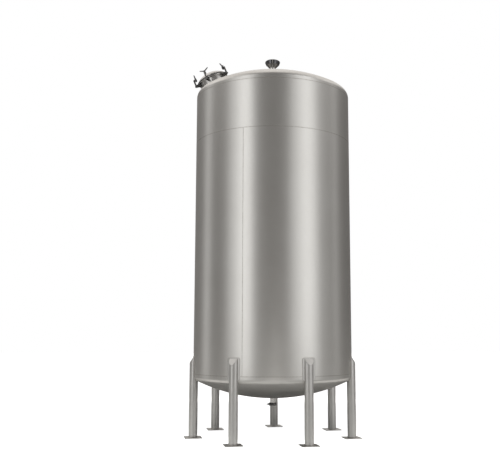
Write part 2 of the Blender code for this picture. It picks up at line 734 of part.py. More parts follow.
def main():
    clear_scene()
    tank = make_collection("storage_tank")
    cutters = make_collection("cutters")
    steel = make_material("steel", STEEL, 0.35, 1)
    dark = make_material("dark_steel", DARK_STEEL, 0.45, 1)
    polished = make_material("polished_steel", POLISHED, 0.15, 1)
    rubber = make_material("rubber", RUBBER, 0.7, 0)
    manway = manway_place()
    make_shell(tank, steel)
    make_heads(tank, cutters, steel, manway)
    make_legs(tank, cutters, steel)
    make_pads(tank, steel)
    make_manway(tank, manway, steel, rubber)
    for number in range(len(CLAMP_ANGLES)):
        make_clamp_bracket(number, tank, cutters, manway, dark)
        make_clamp(number, tank, cutters, manway, dark)
    make_lid_hinge(tank, cutters, manway, dark)
    make_vent(tank, steel, polished)
    make_outlet(tank, steel, dark)


main()
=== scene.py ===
"""Looks of the vertical storage tank: rolled and dished stainless steel on seven pipe legs.

Metres, +Z up, in the same frame as the CAD. The origin is on the floor under the axis.
"""

import math

import bmesh
import bpy
from mathutils import Matrix, Vector


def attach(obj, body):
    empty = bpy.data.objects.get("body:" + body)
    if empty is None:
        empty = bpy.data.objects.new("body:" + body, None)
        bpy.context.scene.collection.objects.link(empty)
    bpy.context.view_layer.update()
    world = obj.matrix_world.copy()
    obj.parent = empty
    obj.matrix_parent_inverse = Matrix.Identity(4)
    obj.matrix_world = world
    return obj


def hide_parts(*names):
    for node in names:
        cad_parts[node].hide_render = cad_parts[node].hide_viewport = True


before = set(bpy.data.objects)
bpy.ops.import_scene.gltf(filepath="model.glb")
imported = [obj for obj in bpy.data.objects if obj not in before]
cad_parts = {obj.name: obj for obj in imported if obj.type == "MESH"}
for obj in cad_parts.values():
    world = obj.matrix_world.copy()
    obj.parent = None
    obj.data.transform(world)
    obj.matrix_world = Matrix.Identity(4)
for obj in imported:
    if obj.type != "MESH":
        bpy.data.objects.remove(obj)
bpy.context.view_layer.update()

# Shell and its courses
TANK_RADIUS = 1.2
SHELL_WALL = 0.005
BOTTOM_SEAM = 0.93
MIDDLE_SEAM = 4.457
TOP_SEAM = 5.176
SEAM_ANGLE = math.radians(-115.9)
SHEET_COUNT = 4
SHEET_GAP = 0.0008

# Dished ends: crown radius, knuckle radius and straight flange
TOP_DISH = (2.4, 0.100, 0.030)
BOTTOM_DISH = (2.64, 0.060, 0.045)

# Legs
LEG_COUNT = 7
LEG_STEP = math.tau / LEG_COUNT
LEG_TURN = LEG_STEP / 8
FIRST_LEG = math.pi + LEG_TURN
PIPE_RADIUS = 0.127 / 2
LEG_TOP_AT_SHELL = 1.172
LEG_TOP_OUTSIDE = 1.090
LEG_TOP_EDGE = 0.006
FOOT_SIDE = 0.25
FOOT_THICKNESS = 0.012
PAD_BOTTOM = 0.872
PAD_TOP = 1.187
PAD_WIDTH = 0.195
PAD_THICKNESS = 0.004
PAD_CORNER = 0.03
LEG_TOP_SLOPE = (LEG_TOP_AT_SHELL - LEG_TOP_OUTSIDE) / (PIPE_RADIUS - PAD_THICKNESS)
# How much longer the pipe is before its top is cut, and how far its cutter tops the pad
PIPE_SPARE = 0.03
ENVELOPE_SPARE = 0.05

# Manway on the roof: heights are above the roof, along the manway's axis
MANWAY_ANGLE = math.radians(174.6)
MANWAY_DISTANCE = 0.90
NECK_RADIUS = 0.225
NECK_WALL = 0.004
NECK_DEPTH = 0.030
NECK_TOP = 0.143
RIM_RADIUS = 0.246
RIM_THICKNESS = 0.010
GASKET_INNER = 0.224
GASKET_OUTER = 0.250
GASKET_THICKNESS = 0.012
GAP = 0.0003
LID_RADIUS = 0.252
LID_WALL = 0.004
LID_DISH = (0.34, 0.040, 0)
LID_DISH_RADIUS = 0.230
LID_BOTTOM = NECK_TOP + RIM_THICKNESS + GASKET_THICKNESS + 3 * GAP
LID_TOP = LID_BOTTOM + LID_WALL

# Clamps round the manway
CLAMP_ANGLES = [math.radians(-40), math.radians(-108), math.radians(-160)]
WING_TURNS = [math.radians(20), math.radians(0), math.radians(-22)]
PIVOT_CIRCLE = 0.306
PIVOT_HEIGHT = 0.118
PIN_RADIUS = 0.006
EYE_RADIUS = 0.017
EYE_WIDTH = 0.024
YOKE_HALF = 0.011
YOKE_TOP = 0.232
YOKE_THICKNESS = 0.020
SCREW_CIRCLE = 0.274
BOSS_RADIUS = 0.018
BOSS_BOTTOM = 0.203
BOSS_TOP = 0.236
SCREW_RADIUS = 0.0075
FOOT_PAD_RADIUS = 0.013
FOOT_PAD_BOTTOM = 0.193
FOOT_PAD_TOP = 0.201
WING_HUB_RADIUS = 0.014
WING_HUB_TOP = 0.262
WING_ROOT = 0.248
WING_LENGTH = 0.080
WING_SPREAD = math.radians(65)
EAR_THICKNESS = 0.007
EAR_CLEARANCE = 0.001
EAR_FOOT = 0.099
EAR_TOP = 0.139
EAR_REACH = 0.015
WEB_THICKNESS = 0.008

# Where the brackets start inside the neck, and the face of the web that carries them
WEB_ROOT = NECK_RADIUS - NECK_WALL / 2
WEB_FACE = NECK_RADIUS + WEB_THICKNESS

# Lid hinge
HINGE_ANGLE = math.radians(72)
HINGE_CIRCLE = 0.290
HINGE_ARM_INNER = 0.233
HINGE_ARM_THICKNESS = 0.012
HINGE_HEIGHT = LID_TOP + GAP + HINGE_ARM_THICKNESS / 2
HINGE_EYE_RADIUS = 0.013
HINGE_ARM_HALF = 0.019
HINGE_EAR_THICKNESS = 0.008
HINGE_EAR_FOOT = 0.075
HINGE_EAR_STEP = 0.133
HINGE_EAR_INSIDE = 0.258
HINGE_EAR_CORNER = 0.004

# Vent and outlet
VENT_RADIUS = 0.050
VENT_WALL = 0.003
VENT_PIPE_TOP = 5.750
VENT_CONE_TOP = 5.800
VENT_CONE_RADIUS = 0.100
VENT_CAP_WIDEST = 5.843
VENT_CAP_RADIUS = 0.11875
VENT_CAP_TOP = 5.884
VENT_CAP_BAND = 0.006
NOZZLE_INSIDE = 0.015
OUTLET_RADIUS = 0.038
OUTLET_WALL = 0.002
FERRULE_RADIUS = 0.0455
FERRULE_THICKNESS = 0.006
FERRULE_JOINT = 0.466
OUTLET_CAP_BOTTOM = 0.437
OUTLET_CAP_CORNER = 0.003
CLAMP_BAND_RADIUS = 0.060
CLAMP_BAND_HALF = 0.021
CLAMP_BAND_WALL = 0.008

# Weld beads on the shell: half their width, and how far they rise
SHEET_WELD_HALF = 0.005
SHEET_WELD_RISE = 0.0006
GIRTH_WELD_HALF = 0.006
GIRTH_WELD_RISE = 0.0007
VENT_WELD = (0.003, 0.001)
# A sheet weld's section: across it and up from the shell, from -1 to 1
BEAD_SHAPE = ((-1, -0.6), (-1, 0.1), (-0.5, 0.75), (0, 1), (0.5, 0.75), (1, 0.1), (1, -0.6))

# The photo is taken from the front, a little to the left
VIEW_TURN = math.radians(-5.37)

# How finely shapes are drawn
ROUND = 256
MANWAY_ROUND = 128
MANWAY_HOLE_ROUND = 96
VENT_ROUND = 96
OUTLET_ROUND = 64
LEG_ROUND = 64
ENVELOPE_SIDES_PER_LEG = 36
LEG_WELD_ROWS = (8, 24)
PAD_STRIPS = 12
PAD_CORNER_ROWS = 6
PAD_WELD_STEP = 0.02
LID_ROWS = (8, 14)
VENT_CAP_ROWS = 14
CREASE = math.radians(32)
BAR_ROUNDNESS = 3
BAR_SIDES = 24
EYE_SIDES = 32

# How far edges are softened
FINE_SOFT = 0.0008
BLOCK_SOFT = 0.001
PLATE_SOFT = 0.0012
BAND_SOFT = 0.0015
RIM_SOFT = 0.002
BOSS_SOFT = 0.003
YOKE_SOFT = 0.004

# How far coordinates are stretched, for polishing lines round the tank or upright
ROUND_GRAIN = (3.0, 0.7, 60.0)
UPRIGHT_GRAIN = (40.0, 40.0, 1.5)

# Welds where pieces meet
FILLET_ROOT = 0.001
FILLET_EASE = 0.002
PIPE_FILLET = 0.007
NOZZLE_FILLET = 0.006
PAD_WELD_RADIUS = 0.0035
LEG_WELD_RADIUS = 0.0045

# Pins, screws and wings of the clamps
PIN_HEAD_HEIGHT = 0.003
PIN_HEAD_RADIUS = 1.5 * PIN_RADIUS
PIN_END = 0.002
THREAD_PITCH = 0.0025
THREAD_DEPTH = 0.0011
HUB_TAPER = (0.003, 0.002)
HUB_BAND = 0.008
WING_BAR_RADIUS = 0.0105
WING_STEPS = (0, 0.25, 0.5, 0.75, 0.9, 0.97, 1)
WING_WIDTHS = (1.0, 0.92, 0.86, 0.82, 0.74, 0.55, 0.25)

# Strap over the vent's cap, a painted highlight: how far it stands out from the cap's skin and
# sinks into it
STRAP_OUTSIDE = 0.0022
STRAP_INSIDE = 0.0008
STRAP_HALF = 0.007
STRAP_SOFT = 0.0005

# Lugs, bolt and wing nut of the outlet's clamp
LUG_REACH = (0.016, 0.006)
LUG_HALF_HEIGHT = 0.010
LUG_HALF_THICKNESS = 0.005
LUG_DISTANCE = 0.010
BOLT_DISTANCE = 0.007
BOLT_RADIUS = 0.004
BOLT_SIDES = 16
BOLT_ENDS = (-0.034, 0.030)
NUT_RADIUS = 0.008
NUT_SIDES = 20
NUT_ENDS = (-0.030, -0.018)
NUT_WING = (0.026, -0.012)
NUT_WING_RADIUS = 0.0045
NUT_WING_STEPS = (0, 0.5, 0.85, 1)
NUT_WING_WIDTHS = (1, 1, 0.9, 0.4)


# Materials

CLEAN_STEEL = (0.64, 0.634, 0.612)
PLAIN_STEEL = (0.60, 0.595, 0.58)
RUBBER_DUST = (0.10, 0.10, 0.095)

# Noise scales of each kind of mark: the larger, the finer
WAVE_SCALE = 1.3
CLOUD_SCALE = 1.7
LINE_SCALE = 14
MARK_SCALE = 23
PATCH_SCALE = 26
HEAT_SCALE = 30
DUST_SCALE = 60
RIPPLE_SCALE = 260
FORGED_SKIN_SCALE = 420
RUBBER_SKIN_SCALE = 700


def start_material(name, color, roughness, metallic):
    material = bpy.data.materials.new(name)
    material.use_nodes = True
    shader = material.node_tree.nodes["Principled BSDF"]
    shader.inputs["Base Color"].default_value = (*color, 1)
    shader.inputs["Roughness"].default_value = roughness
    shader.inputs["Metallic"].default_value = metallic
    return material, material.node_tree, shader


def add_node(tree, kind, inputs):
    """A new node. Inputs, by name or number, are values, or other nodes' outputs to link."""
    node = tree.nodes.new(kind)
    for key, value in inputs.items():
        if isinstance(value, bpy.types.NodeSocket):
            tree.links.new(value, node.inputs[key])
        else:
            node.inputs[key].default_value = value
    return node


def math_node(tree, operation, *values):
    node = add_node(tree, "ShaderNodeMath", dict(enumerate(values)))
    node.operation = operation
    return node.outputs[0]


def axes_of(tree, vector):
    return add_node(tree, "ShaderNodeSeparateXYZ", {0: vector}).outputs


def grain(tree, direction):
    """Coordinates stretched along the polishing lines: round the tank, or up and down."""
    coords = tree.nodes.new("ShaderNodeTexCoord").outputs["Object"]
    if direction == "even":
        return coords
    along_x, along_y, along_z = axes_of(tree, coords)
    if direction == "round":
        angle = math_node(tree, "ARCTAN2", along_y, along_x)
        sources, stretches = (angle, along_x, along_z), ROUND_GRAIN
    else:
        sources, stretches = (along_x, along_y, along_z), UPRIGHT_GRAIN
    pairs = zip(sources, stretches)
    stretched = [math_node(tree, "MULTIPLY", source, stretch) for source, stretch in pairs]
    return add_node(tree, "ShaderNodeCombineXYZ", dict(enumerate(stretched))).outputs[0]


def noise(tree, vector, scale, detail, roughness=0.55):
    inputs = {"Vector": vector, "Scale": scale, "Detail": detail, "Roughness": roughness}
    return add_node(tree, "ShaderNodeTexNoise", inputs).outputs["Fac"]


def ranged(tree, value, low, high, from_low=0.3, from_high=0.7):
    """The value brought from its own range to low and high, and held there beyond it."""
    inputs = {"Value": value, "From Min": from_low, "From Max": from_high}
    inputs |= {"To Min": low, "To Max": high}
    return add_node(tree, "ShaderNodeMapRange", inputs).outputs["Result"]


def mixed_color(tree, factor, first, second):
    node = tree.nodes.new("ShaderNodeMix")
    node.data_type = "RGBA"
    tree.links.new(factor, node.inputs["Factor"])
    for socket, value in ((node.inputs["A"], first), (node.inputs["B"], second)):
        if isinstance(value, tuple):
            socket.default_value = (*value, 1)
        else:
            tree.links.new(value, socket)
    return node.outputs["Result"]


def bump(tree, height, strength, distance, under=None):
    inputs = {"Strength": strength, "Distance": distance, "Height": height}
    if under is not None:
        inputs["Normal"] = under
    return add_node(tree, "ShaderNodeBump", inputs).outputs["Normal"]


def dress(tree, shader, shade, rough, normal):
    for socket, value in (("Base Color", shade), ("Roughness", rough), ("Normal", normal)):
        tree.links.new(value, shader.inputs[socket])


def steel_finish(name, color, dull, roughness, direction, lines, waves=0.0):
    """Stainless steel with polishing lines, faint cloudiness and handling marks."""
    material, tree, shader = start_material(name, color, roughness, 1)
    even = grain(tree, "even")
    lined = noise(tree, grain(tree, direction), LINE_SCALE, 6, 0.65)
    cloud = noise(tree, even, CLOUD_SCALE, 4)
    marks = noise(tree, even, MARK_SCALE, 8, 0.7)
    tone = math_node(tree, "ADD", cloud, math_node(tree, "MULTIPLY", marks, 0.4))
    tone = math_node(tree, "ADD", tone, math_node(tree, "MULTIPLY", lined, 0.4))
    shade = mixed_color(tree, ranged(tree, tone, 0, 1, 0.6, 1.2), color, dull)
    matt = math_node(tree, "ADD", lined, math_node(tree, "MULTIPLY", marks, 0.4))
    spread = 0.12 * roughness
    rough = ranged(tree, matt, roughness - spread, roughness + spread, 0.4, 1.0)
    normal = bump(tree, lined, lines, 0.0004)
    if waves:
        broad = noise(tree, even, WAVE_SCALE, 1)
        normal = bump(tree, broad, waves, 0.02, normal)
    dress(tree, shader, shade, rough, normal)
    return material


def weld_finish(name, color, tint, ripples=0.6):
    """A welded bead: ripples, and straw and blue heat colours that wander."""
    material, tree, shader = start_material(name, color, 0.38, 1)
    even = grain(tree, "even")
    heat = noise(tree, even, HEAT_SCALE, 3)
    shade = mixed_color(tree, ranged(tree, heat, 0, 1), color, tint)
    ripple = add_node(tree, "ShaderNodeTexVoronoi", {"Vector": even, "Scale": RIPPLE_SCALE})
    normal = bump(tree, ripple.outputs["Distance"], ripples, 0.001)
    dress(tree, shader, shade, ranged(tree, heat, 0.3, 0.5), normal)
    return material


def forged_finish(name, color, rubbed, roughness):
    """Dark forged steel, rubbed brighter in patches, with a fine cast skin."""
    material, tree, shader = start_material(name, color, roughness, 1)
    even = grain(tree, "even")
    patches = noise(tree, even, PATCH_SCALE, 6, 0.6)
    skin = noise(tree, even, FORGED_SKIN_SCALE, 4)
    shade = mixed_color(tree, ranged(tree, patches, 0, 1, 0.45, 0.75), color, rubbed)
    rough = ranged(tree, patches, roughness + 0.08, roughness - 0.12)
    dress(tree, shader, shade, rough, bump(tree, skin, 0.25, 0.0008))
    return material


def rubber_finish(name, color):
    material, tree, shader = start_material(name, color, 0.65, 0)
    even = grain(tree, "even")
    dust = noise(tree, even, DUST_SCALE, 6)
    skin = noise(tree, even, RUBBER_SKIN_SCALE, 3)
    shade = mixed_color(tree, ranged(tree, dust, 0, 1), color, RUBBER_DUST)
    rough = ranged(tree, dust, 0.55, 0.75)
    dress(tree, shader, shade, rough, bump(tree, skin, 0.2, 0.0005))
    return material


shell_steel = steel_finish(
    "rolled_shell_steel", CLEAN_STEEL, (0.60, 0.59, 0.567), 0.33, "round", 0.10, 0.04
)
head_steel = steel_finish(
    "dished_head_steel", CLEAN_STEEL, (0.59, 0.58, 0.557), 0.34, "even", 0.08, 0.04
)
pipe_steel = steel_finish(
    "leg_pipe_steel", PLAIN_STEEL, (0.52, 0.515, 0.50), 0.40, "upright", 0.25
)
plate_steel = steel_finish("plate_steel", PLAIN_STEEL, (0.50, 0.495, 0.48), 0.42, "even", 0.20)
turned_steel = steel_finish(
    "turned_fitting_steel", (0.64, 0.63, 0.615), (0.57, 0.56, 0.545), 0.26, "even", 0.15
)
# Vent cap and flare: polished steel whose darkened colour is a painted reflection of a dark room
# round it
cap_steel_painted_dark = steel_finish(
    "polished_cap_painted_dark_reflection", (0.13, 0.13, 0.135), (0.09, 0.09, 0.095), 0.14, "even", 0.05
)
flare_steel_painted_dark = steel_finish(
    "polished_flare_painted_dark_reflection", (0.30, 0.295, 0.29), (0.24, 0.235, 0.23), 0.16, "even", 0.05
)
weld_steel = weld_finish("weld_bead_steel", (0.33, 0.32, 0.305), (0.25, 0.225, 0.20))
ground_weld_steel = weld_finish("ground_weld_steel", (0.53, 0.52, 0.50), (0.46, 0.44, 0.41), 0.15)
forged_steel = forged_finish("forged_clamp_steel", (0.10, 0.10, 0.10), (0.28, 0.275, 0.27), 0.42)
seal_rubber = rubber_finish("gasket_rubber", (0.045, 0.045, 0.043))


# Shapes


def add_to_scene(item):
    bpy.context.scene.collection.objects.link(item)


def placed(bm, place):
    """The same bmesh, moved to its place."""
    if place is not None:
        bmesh.ops.transform(bm, matrix=place, verts=bm.verts)
    return bm


def rounded(bm, geometry, offset, segments, affect="EDGES", clamped=False):
    bmesh.ops.bevel(
        bm,
        geom=geometry,
        offset=offset,
        segments=segments,
        profile=0.5,
        affect=affect,
        clamp_overlap=clamped,
        material=-1,
    )


def drawn_out(bm, faces, along):
    """Makes a solid of flat faces by drawing them out along a vector."""
    side = bmesh.ops.extrude_face_region(bm, geom=faces)
    corners = [item for item in side["geom"] if isinstance(item, bmesh.types.BMVert)]
    bmesh.ops.translate(bm, verts=corners, vec=along)


def ring(inside, outside, low, high):
    """The section of a plain ring, as (radius, height) points."""
    return [(inside, low), (outside, low), (outside, high), (inside, high)]


def spun(bm, geometry, angle, steps, merged):
    middle, axis = (0, 0, 0), (0, 0, 1)
    bmesh.ops.spin(
        bm, geom=geometry, cent=middle, axis=axis, angle=angle, steps=steps, use_merge=merged
    )


def lathe(profile, steps=ROUND, place=None, soften=0.0, closed=True):
    """A bmesh of (radius, height) points spun round Z. Soften rounds the profile's corners."""
    bm = bmesh.new()
    corners = [bm.verts.new((radius, 0, height)) for radius, height in profile]
    if closed:
        bm.faces.new(corners)
        if soften:
            rounded(bm, corners, soften, 3, "VERTICES")
        bmesh.ops.delete(bm, geom=list(bm.faces), context="FACES_ONLY")
    else:
        for first, second in zip(corners, corners[1:]):
            bm.edges.new((first, second))
    spun(bm, [*bm.verts, *bm.edges], math.tau, steps, merged=True)
    return placed(bm, place)


def sector(section, start, sweep, steps):
    """A bmesh of a flat section of (radius, height) points swept part way round Z."""
    bm = bmesh.new()
    turn = Matrix.Rotation(start, 4, "Z")
    face = bm.faces.new([bm.verts.new(turn @ Vector((r, 0, z))) for r, z in section])
    spun(bm, [face, *face.edges, *face.verts], sweep, steps, merged=False)
    return bm


def block(low, high, soften, place=None):
    """A bmesh of a box with rounded edges."""
    bm = bmesh.new()
    size = [high[axis] - low[axis] for axis in range(3)]
    middle = [(high[axis] + low[axis]) / 2 for axis in range(3)]
    at = Matrix.Translation(middle) @ Matrix.Diagonal((*size, 1))
    bmesh.ops.create_cube(bm, size=1, matrix=at)
    rounded(bm, list(bm.edges), soften, 2)
    return placed(bm, place)


def cut_plate(outline, low, high, soften, place=None):
    """A bmesh of a flat outline of (x, z) points, thick from low to high along Y."""
    bm = bmesh.new()
    face = bm.faces.new([bm.verts.new((x, low, z)) for x, z in outline])
    drawn_out(bm, [face], (0, high - low, 0))
    bmesh.ops.recalc_face_normals(bm, faces=bm.faces)
    rounded(bm, list(bm.edges), soften, 3, clamped=True)
    return placed(bm, place)


def rod(start, end, radius, sides=BAR_SIDES, soften=BLOCK_SOFT, place=None):
    """A bmesh of a round rod with softened ends."""
    start, end = Vector(start), Vector(end)
    length = (end - start).length
    turn = (end - start).to_track_quat("Z", "X").to_matrix().to_4x4()
    at = Matrix.Translation(start) @ turn
    if place is not None:
        at = place @ at
    if soften:
        profile = [(0, length), (radius - soften, length), (radius, length - soften)]
        profile += [(radius, soften), (radius - soften, 0), (0, 0)]
    else:
        profile = [(0, length), (radius, length), (radius, 0), (0, 0)]
    return lathe(profile, sides, at, closed=False)


def crossbar(x, near, far, z, radius, sides=BAR_SIDES, soften=BLOCK_SOFT, place=None):
    """A bmesh of a rod along Y, from near to far."""
    return rod((x, near, z), (x, far, z), radius, sides, soften, place)


def shape_of(item):
    """What a helper object looks like when finished, as a bmesh. The helper is removed."""
    graph = bpy.context.evaluated_depsgraph_get()
    mesh = bpy.data.meshes.new_from_object(item.evaluated_get(graph))
    bm = bmesh.new()
    bm.from_mesh(mesh)
    bpy.data.objects.remove(item)
    bpy.data.meshes.remove(mesh)
    return bm


def tube_along(points, radius, closed=False, radii=None, place=None):
    """A bmesh of a round bar that follows points, such as a weld bead or a handle."""
    curve = bpy.data.curves.new("path", "CURVE")
    curve.dimensions = "3D"
    curve.bevel_depth = radius
    curve.bevel_resolution = BAR_ROUNDNESS
    curve.use_fill_caps = True
    spline = curve.splines.new("POLY")
    spline.points.add(len(points) - 1)
    for index, point in enumerate(points):
        spline.points[index].co = (*point, 1)
        spline.points[index].radius = radii[index] if radii else 1
    spline.use_cyclic_u = closed
    holder = bpy.data.objects.new("path", curve)
    add_to_scene(holder)
    bm = shape_of(holder)
    bpy.data.curves.remove(curve)
    return placed(bm, place)


def joined(*parts):
    """One bmesh that holds all the parts, each still a closed shape of its own."""
    whole = bmesh.new()
    for part in parts:
        bmesh.ops.remove_doubles(part, verts=part.verts, dist=0.00001)
        bmesh.ops.recalc_face_normals(part, faces=part.faces)
        mesh = bpy.data.meshes.new("part")
        part.to_mesh(mesh)
        part.free()
        whole.from_mesh(mesh)
        bpy.data.meshes.remove(mesh)
    return whole


def mesh_of(bm, name):
    mesh = bpy.data.meshes.new(name)
    bm.to_mesh(mesh)
    bm.free()
    mesh.shade_smooth()
    mesh.set_sharp_from_angle(angle=CREASE)
    return mesh


def show(name, bm, material, body="tank", stands_for=None):
    """Puts a finished piece in the scene, on its body, in place of its CAD node."""
    piece = bpy.data.objects.new(name, mesh_of(joined(bm), name))
    show_object(piece, material, body, stands_for)


def show_object(piece, material, body, stands_for=None):
    add_to_scene(piece)
    piece.data.materials.append(material)
    if stands_for:
        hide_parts(stands_for)
    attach(piece, body)


def carved(bm, cutter):
    """A bmesh with the cutter taken out of it."""
    whole = bpy.data.objects.new("whole", mesh_of(joined(bm), "whole"))
    helper = bpy.data.objects.new("cutter", mesh_of(joined(cutter), "cutter"))
    add_to_scene(whole)
    add_to_scene(helper)
    modifier = whole.modifiers.new("cut", "BOOLEAN")
    modifier.object = helper
    modifier.operation = "DIFFERENCE"
    modifier.solver = "EXACT"
    bm = shape_of(whole)
    bpy.data.objects.remove(helper)
    return bm


def crown_place(radius, crown, knuckle, flange):
    """The angle where the knuckle meets the crown, and how far up the crown's centre lies."""
    junction = math.asin((radius - knuckle) / (crown - knuckle))
    return junction, flange + (knuckle - crown) * math.cos(junction)


def dish(radius, crown, knuckle, flange, hole, knuckle_rows=10, crown_rows=24):
    """(radius, depth) points of a dished end, from its edge to the hole in its middle."""
    junction, centre = crown_place(radius, crown, knuckle, flange)
    points = [(radius, 0)]
    for row in range(knuckle_rows + 1):
        angle = (math.pi / 2 - junction) * row / knuckle_rows
        across = radius - knuckle + knuckle * math.cos(angle)
        points.append((across, flange + knuckle * math.sin(angle)))
    last = math.asin(hole / crown)
    for row in range(1, crown_rows + 1):
        angle = junction + (last - junction) * row / crown_rows
        points.append((crown * math.sin(angle), centre + crown * math.cos(angle)))
    return points


def dish_walls(size, radius, wall, hole, *rows):
    """The outer and the inner curve of a dished end."""
    crown, knuckle, flange = size
    outer = dish(radius, crown, knuckle, flange, hole, *rows)
    inner = dish(radius - wall, crown - wall, knuckle - wall, flange, hole, *rows)
    return outer, inner


def head_outline(size, seat, way, hole):
    """A dished end's closed outline on its seat. Way is 1 for the roof, -1 for the bottom."""
    outer, inner = dish_walls(size, TANK_RADIUS, SHELL_WALL, hole)
    return [(radius, seat + way * depth) for radius, depth in outer + inner[::-1]]


def roof_height(distance):
    centre = crown_place(TANK_RADIUS, *TOP_DISH)[1]
    return TOP_SEAM + centre + math.sqrt(TOP_DISH[0] ** 2 - distance**2)


def bottom_depth(distance):
    """How far below the bottom seam the outside of the bottom lies at this radius."""
    crown, knuckle, flange = BOTTOM_DISH
    junction, centre = crown_place(TANK_RADIUS, *BOTTOM_DISH)
    if distance > TANK_RADIUS - knuckle + knuckle * math.sin(junction):
        across = min(1, (distance - TANK_RADIUS + knuckle) / knuckle)
        return flange + knuckle * math.sqrt(1 - across**2)
    return centre + math.sqrt(crown**2 - distance**2)


# Weld beads


def round_bead(radius, height, half, rise, steps=ROUND):
    """A low rounded bead round a circle, sunk a little into the steel under it."""
    profile = [
        (radius - rise, height - half),
        (radius + 0.1 * rise, height - half),
        (radius + 0.75 * rise, height - half / 2),
        (radius + rise, height),
        (radius + 0.75 * rise, height + half / 2),
        (radius + 0.1 * rise, height + half),
        (radius - rise, height + half),
    ]
    return lathe(profile, steps)


def fillet(radius, base, size, sunk):
    """The outline of a fillet weld round a pipe, sunk a little into what it stands on."""
    return [
        (radius - FILLET_ROOT, base - sunk),
        (radius + size, base - sunk),
        (radius + size - FILLET_EASE / 2, base + FILLET_EASE),
        (radius + FILLET_EASE, base + size - FILLET_EASE / 2),
        (radius - FILLET_ROOT, base + size),
    ]


# Shell


def make_shell():
    inside = TANK_RADIUS - SHELL_WALL
    low, high = BOTTOM_SEAM + GAP, MIDDLE_SEAM
    section = ring(inside, TANK_RADIUS, low, high)
    sweep = math.tau / SHEET_COUNT
    trim = SHEET_GAP / TANK_RADIUS
    for number in range(SHEET_COUNT):
        start = SEAM_ANGLE + number * sweep
        sheet = sector(section, start + trim / 2, sweep - trim, ROUND // SHEET_COUNT)
        node = f"shell_sheet_{number + 1}"
        show(f"rolled_sheet_{number + 1}", sheet, shell_steel, stands_for=node)
        seam_bead(number + 1, start, low, high)
    band = lathe(ring(inside, TANK_RADIUS, MIDDLE_SEAM + GAP, TOP_SEAM))
    show("rolled_upper_course", band, shell_steel, stands_for="shell_upper_course")
    for word, height in (("bottom", BOTTOM_SEAM), ("middle", MIDDLE_SEAM), ("top", TOP_SEAM)):
        outer = round_bead(TANK_RADIUS, height, GIRTH_WELD_HALF, GIRTH_WELD_RISE)
        inner = round_bead(inside, height, GIRTH_WELD_HALF, -GIRTH_WELD_RISE)
        show(f"{word}_girth_weld", joined(outer, inner), ground_weld_steel)


def seam_bead(number, angle, low, high):
    """The vertical weld between two sheets, outside and inside."""
    turn = Matrix.Rotation(angle, 4, "Z")
    beads = []
    inside = TANK_RADIUS - SHELL_WALL
    for radius, rise in ((TANK_RADIUS, SHEET_WELD_RISE), (inside, -SHEET_WELD_RISE)):
        bead = bmesh.new()
        section = [(radius + rise * up, SHEET_WELD_HALF * side, low) for side, up in BEAD_SHAPE]
        face = bead.faces.new([bead.verts.new(point) for point in section])
        drawn_out(bead, [face], (0, 0, high - low))
        beads.append(placed(bead, turn))
    show(f"sheet_weld_{number}", joined(*beads), ground_weld_steel)


# Heads


def manway_place():
    """Z is the manway's axis, square to the roof, and X points up the roof's slope."""
    slope = math.asin(MANWAY_DISTANCE / TOP_DISH[0])
    height = roof_height(MANWAY_DISTANCE) + GAP
    return (
        Matrix.Rotation(MANWAY_ANGLE, 4, "Z")
        @ Matrix.Translation((MANWAY_DISTANCE, 0, height))
        @ Matrix.Rotation(slope, 4, "Y")
        @ Matrix.Rotation(math.pi, 4, "Z")
    )


MANWAY = manway_place()


def make_heads():
    outline = head_outline(TOP_DISH, TOP_SEAM + GAP, 1, VENT_RADIUS)
    hole = rod((0, 0, -NECK_TOP), (0, 0, NECK_TOP), NECK_RADIUS, MANWAY_HOLE_ROUND, 0, MANWAY)
    roof = carved(lathe(outline), hole)
    show("dished_roof", roof, head_steel, stands_for="top_head")

    bottom = lathe(head_outline(BOTTOM_DISH, BOTTOM_SEAM, -1, OUTLET_RADIUS))
    show("dished_bottom", bottom, head_steel, stands_for="bottom_head")


# Legs


def make_leg_pipe():
    """One leg on +X: a capped pipe whose top slopes down away from the shell."""
    bm = bmesh.new()
    low = FOOT_THICKNESS + GAP
    high = LEG_TOP_OUTSIDE + 2 * PIPE_RADIUS * LEG_TOP_SLOPE + PIPE_SPARE
    bmesh.ops.create_cone(
        bm,
        cap_ends=True,
        segments=LEG_ROUND,
        radius1=PIPE_RADIUS,
        radius2=PIPE_RADIUS,
        depth=high - low,
        matrix=Matrix.Translation((TANK_RADIUS, 0, (high + low) / 2)),
    )
    slope = Vector((LEG_TOP_SLOPE, 0, 1)).normalized()
    cut = bmesh.ops.bisect_plane(
        bm,
        geom=[*bm.verts, *bm.edges, *bm.faces],
        dist=0.00001,
        plane_co=(TANK_RADIUS + PIPE_RADIUS, 0, LEG_TOP_OUTSIDE),
        plane_no=slope,
        clear_outer=True,
    )
    rim = [item for item in cut["geom_cut"] if isinstance(item, bmesh.types.BMEdge)]
    bmesh.ops.contextual_create(bm, geom=rim)
    bmesh.ops.recalc_face_normals(bm, faces=bm.faces)
    rounded(bm, rim, LEG_TOP_EDGE, 4)
    return carved(bm, tank_envelope())


def tank_envelope():
    """What a leg is shaped to: the pad on the shell, and the bottom under it."""
    crown, knuckle, flange = BOTTOM_DISH
    outer = dish(TANK_RADIUS + GAP, crown + GAP, knuckle + GAP, flange, OUTLET_RADIUS)
    face = TANK_RADIUS + 2 * GAP + PAD_THICKNESS
    below = [(radius, BOTTOM_SEAM - depth) for radius, depth in outer]
    under = [point for point in below if point[1] < PAD_BOTTOM - GAP]
    top = PAD_TOP + ENVELOPE_SPARE
    profile = [(0, top), (face, top), (face, PAD_BOTTOM - GAP)]
    profile += [(TANK_RADIUS, PAD_BOTTOM - GAP), *under, (0, under[-1][1])]
    steps = LEG_COUNT * ENVELOPE_SIDES_PER_LEG
    return lathe(profile, steps, Matrix.Rotation(math.pi / steps, 4, "Z"), closed=False)


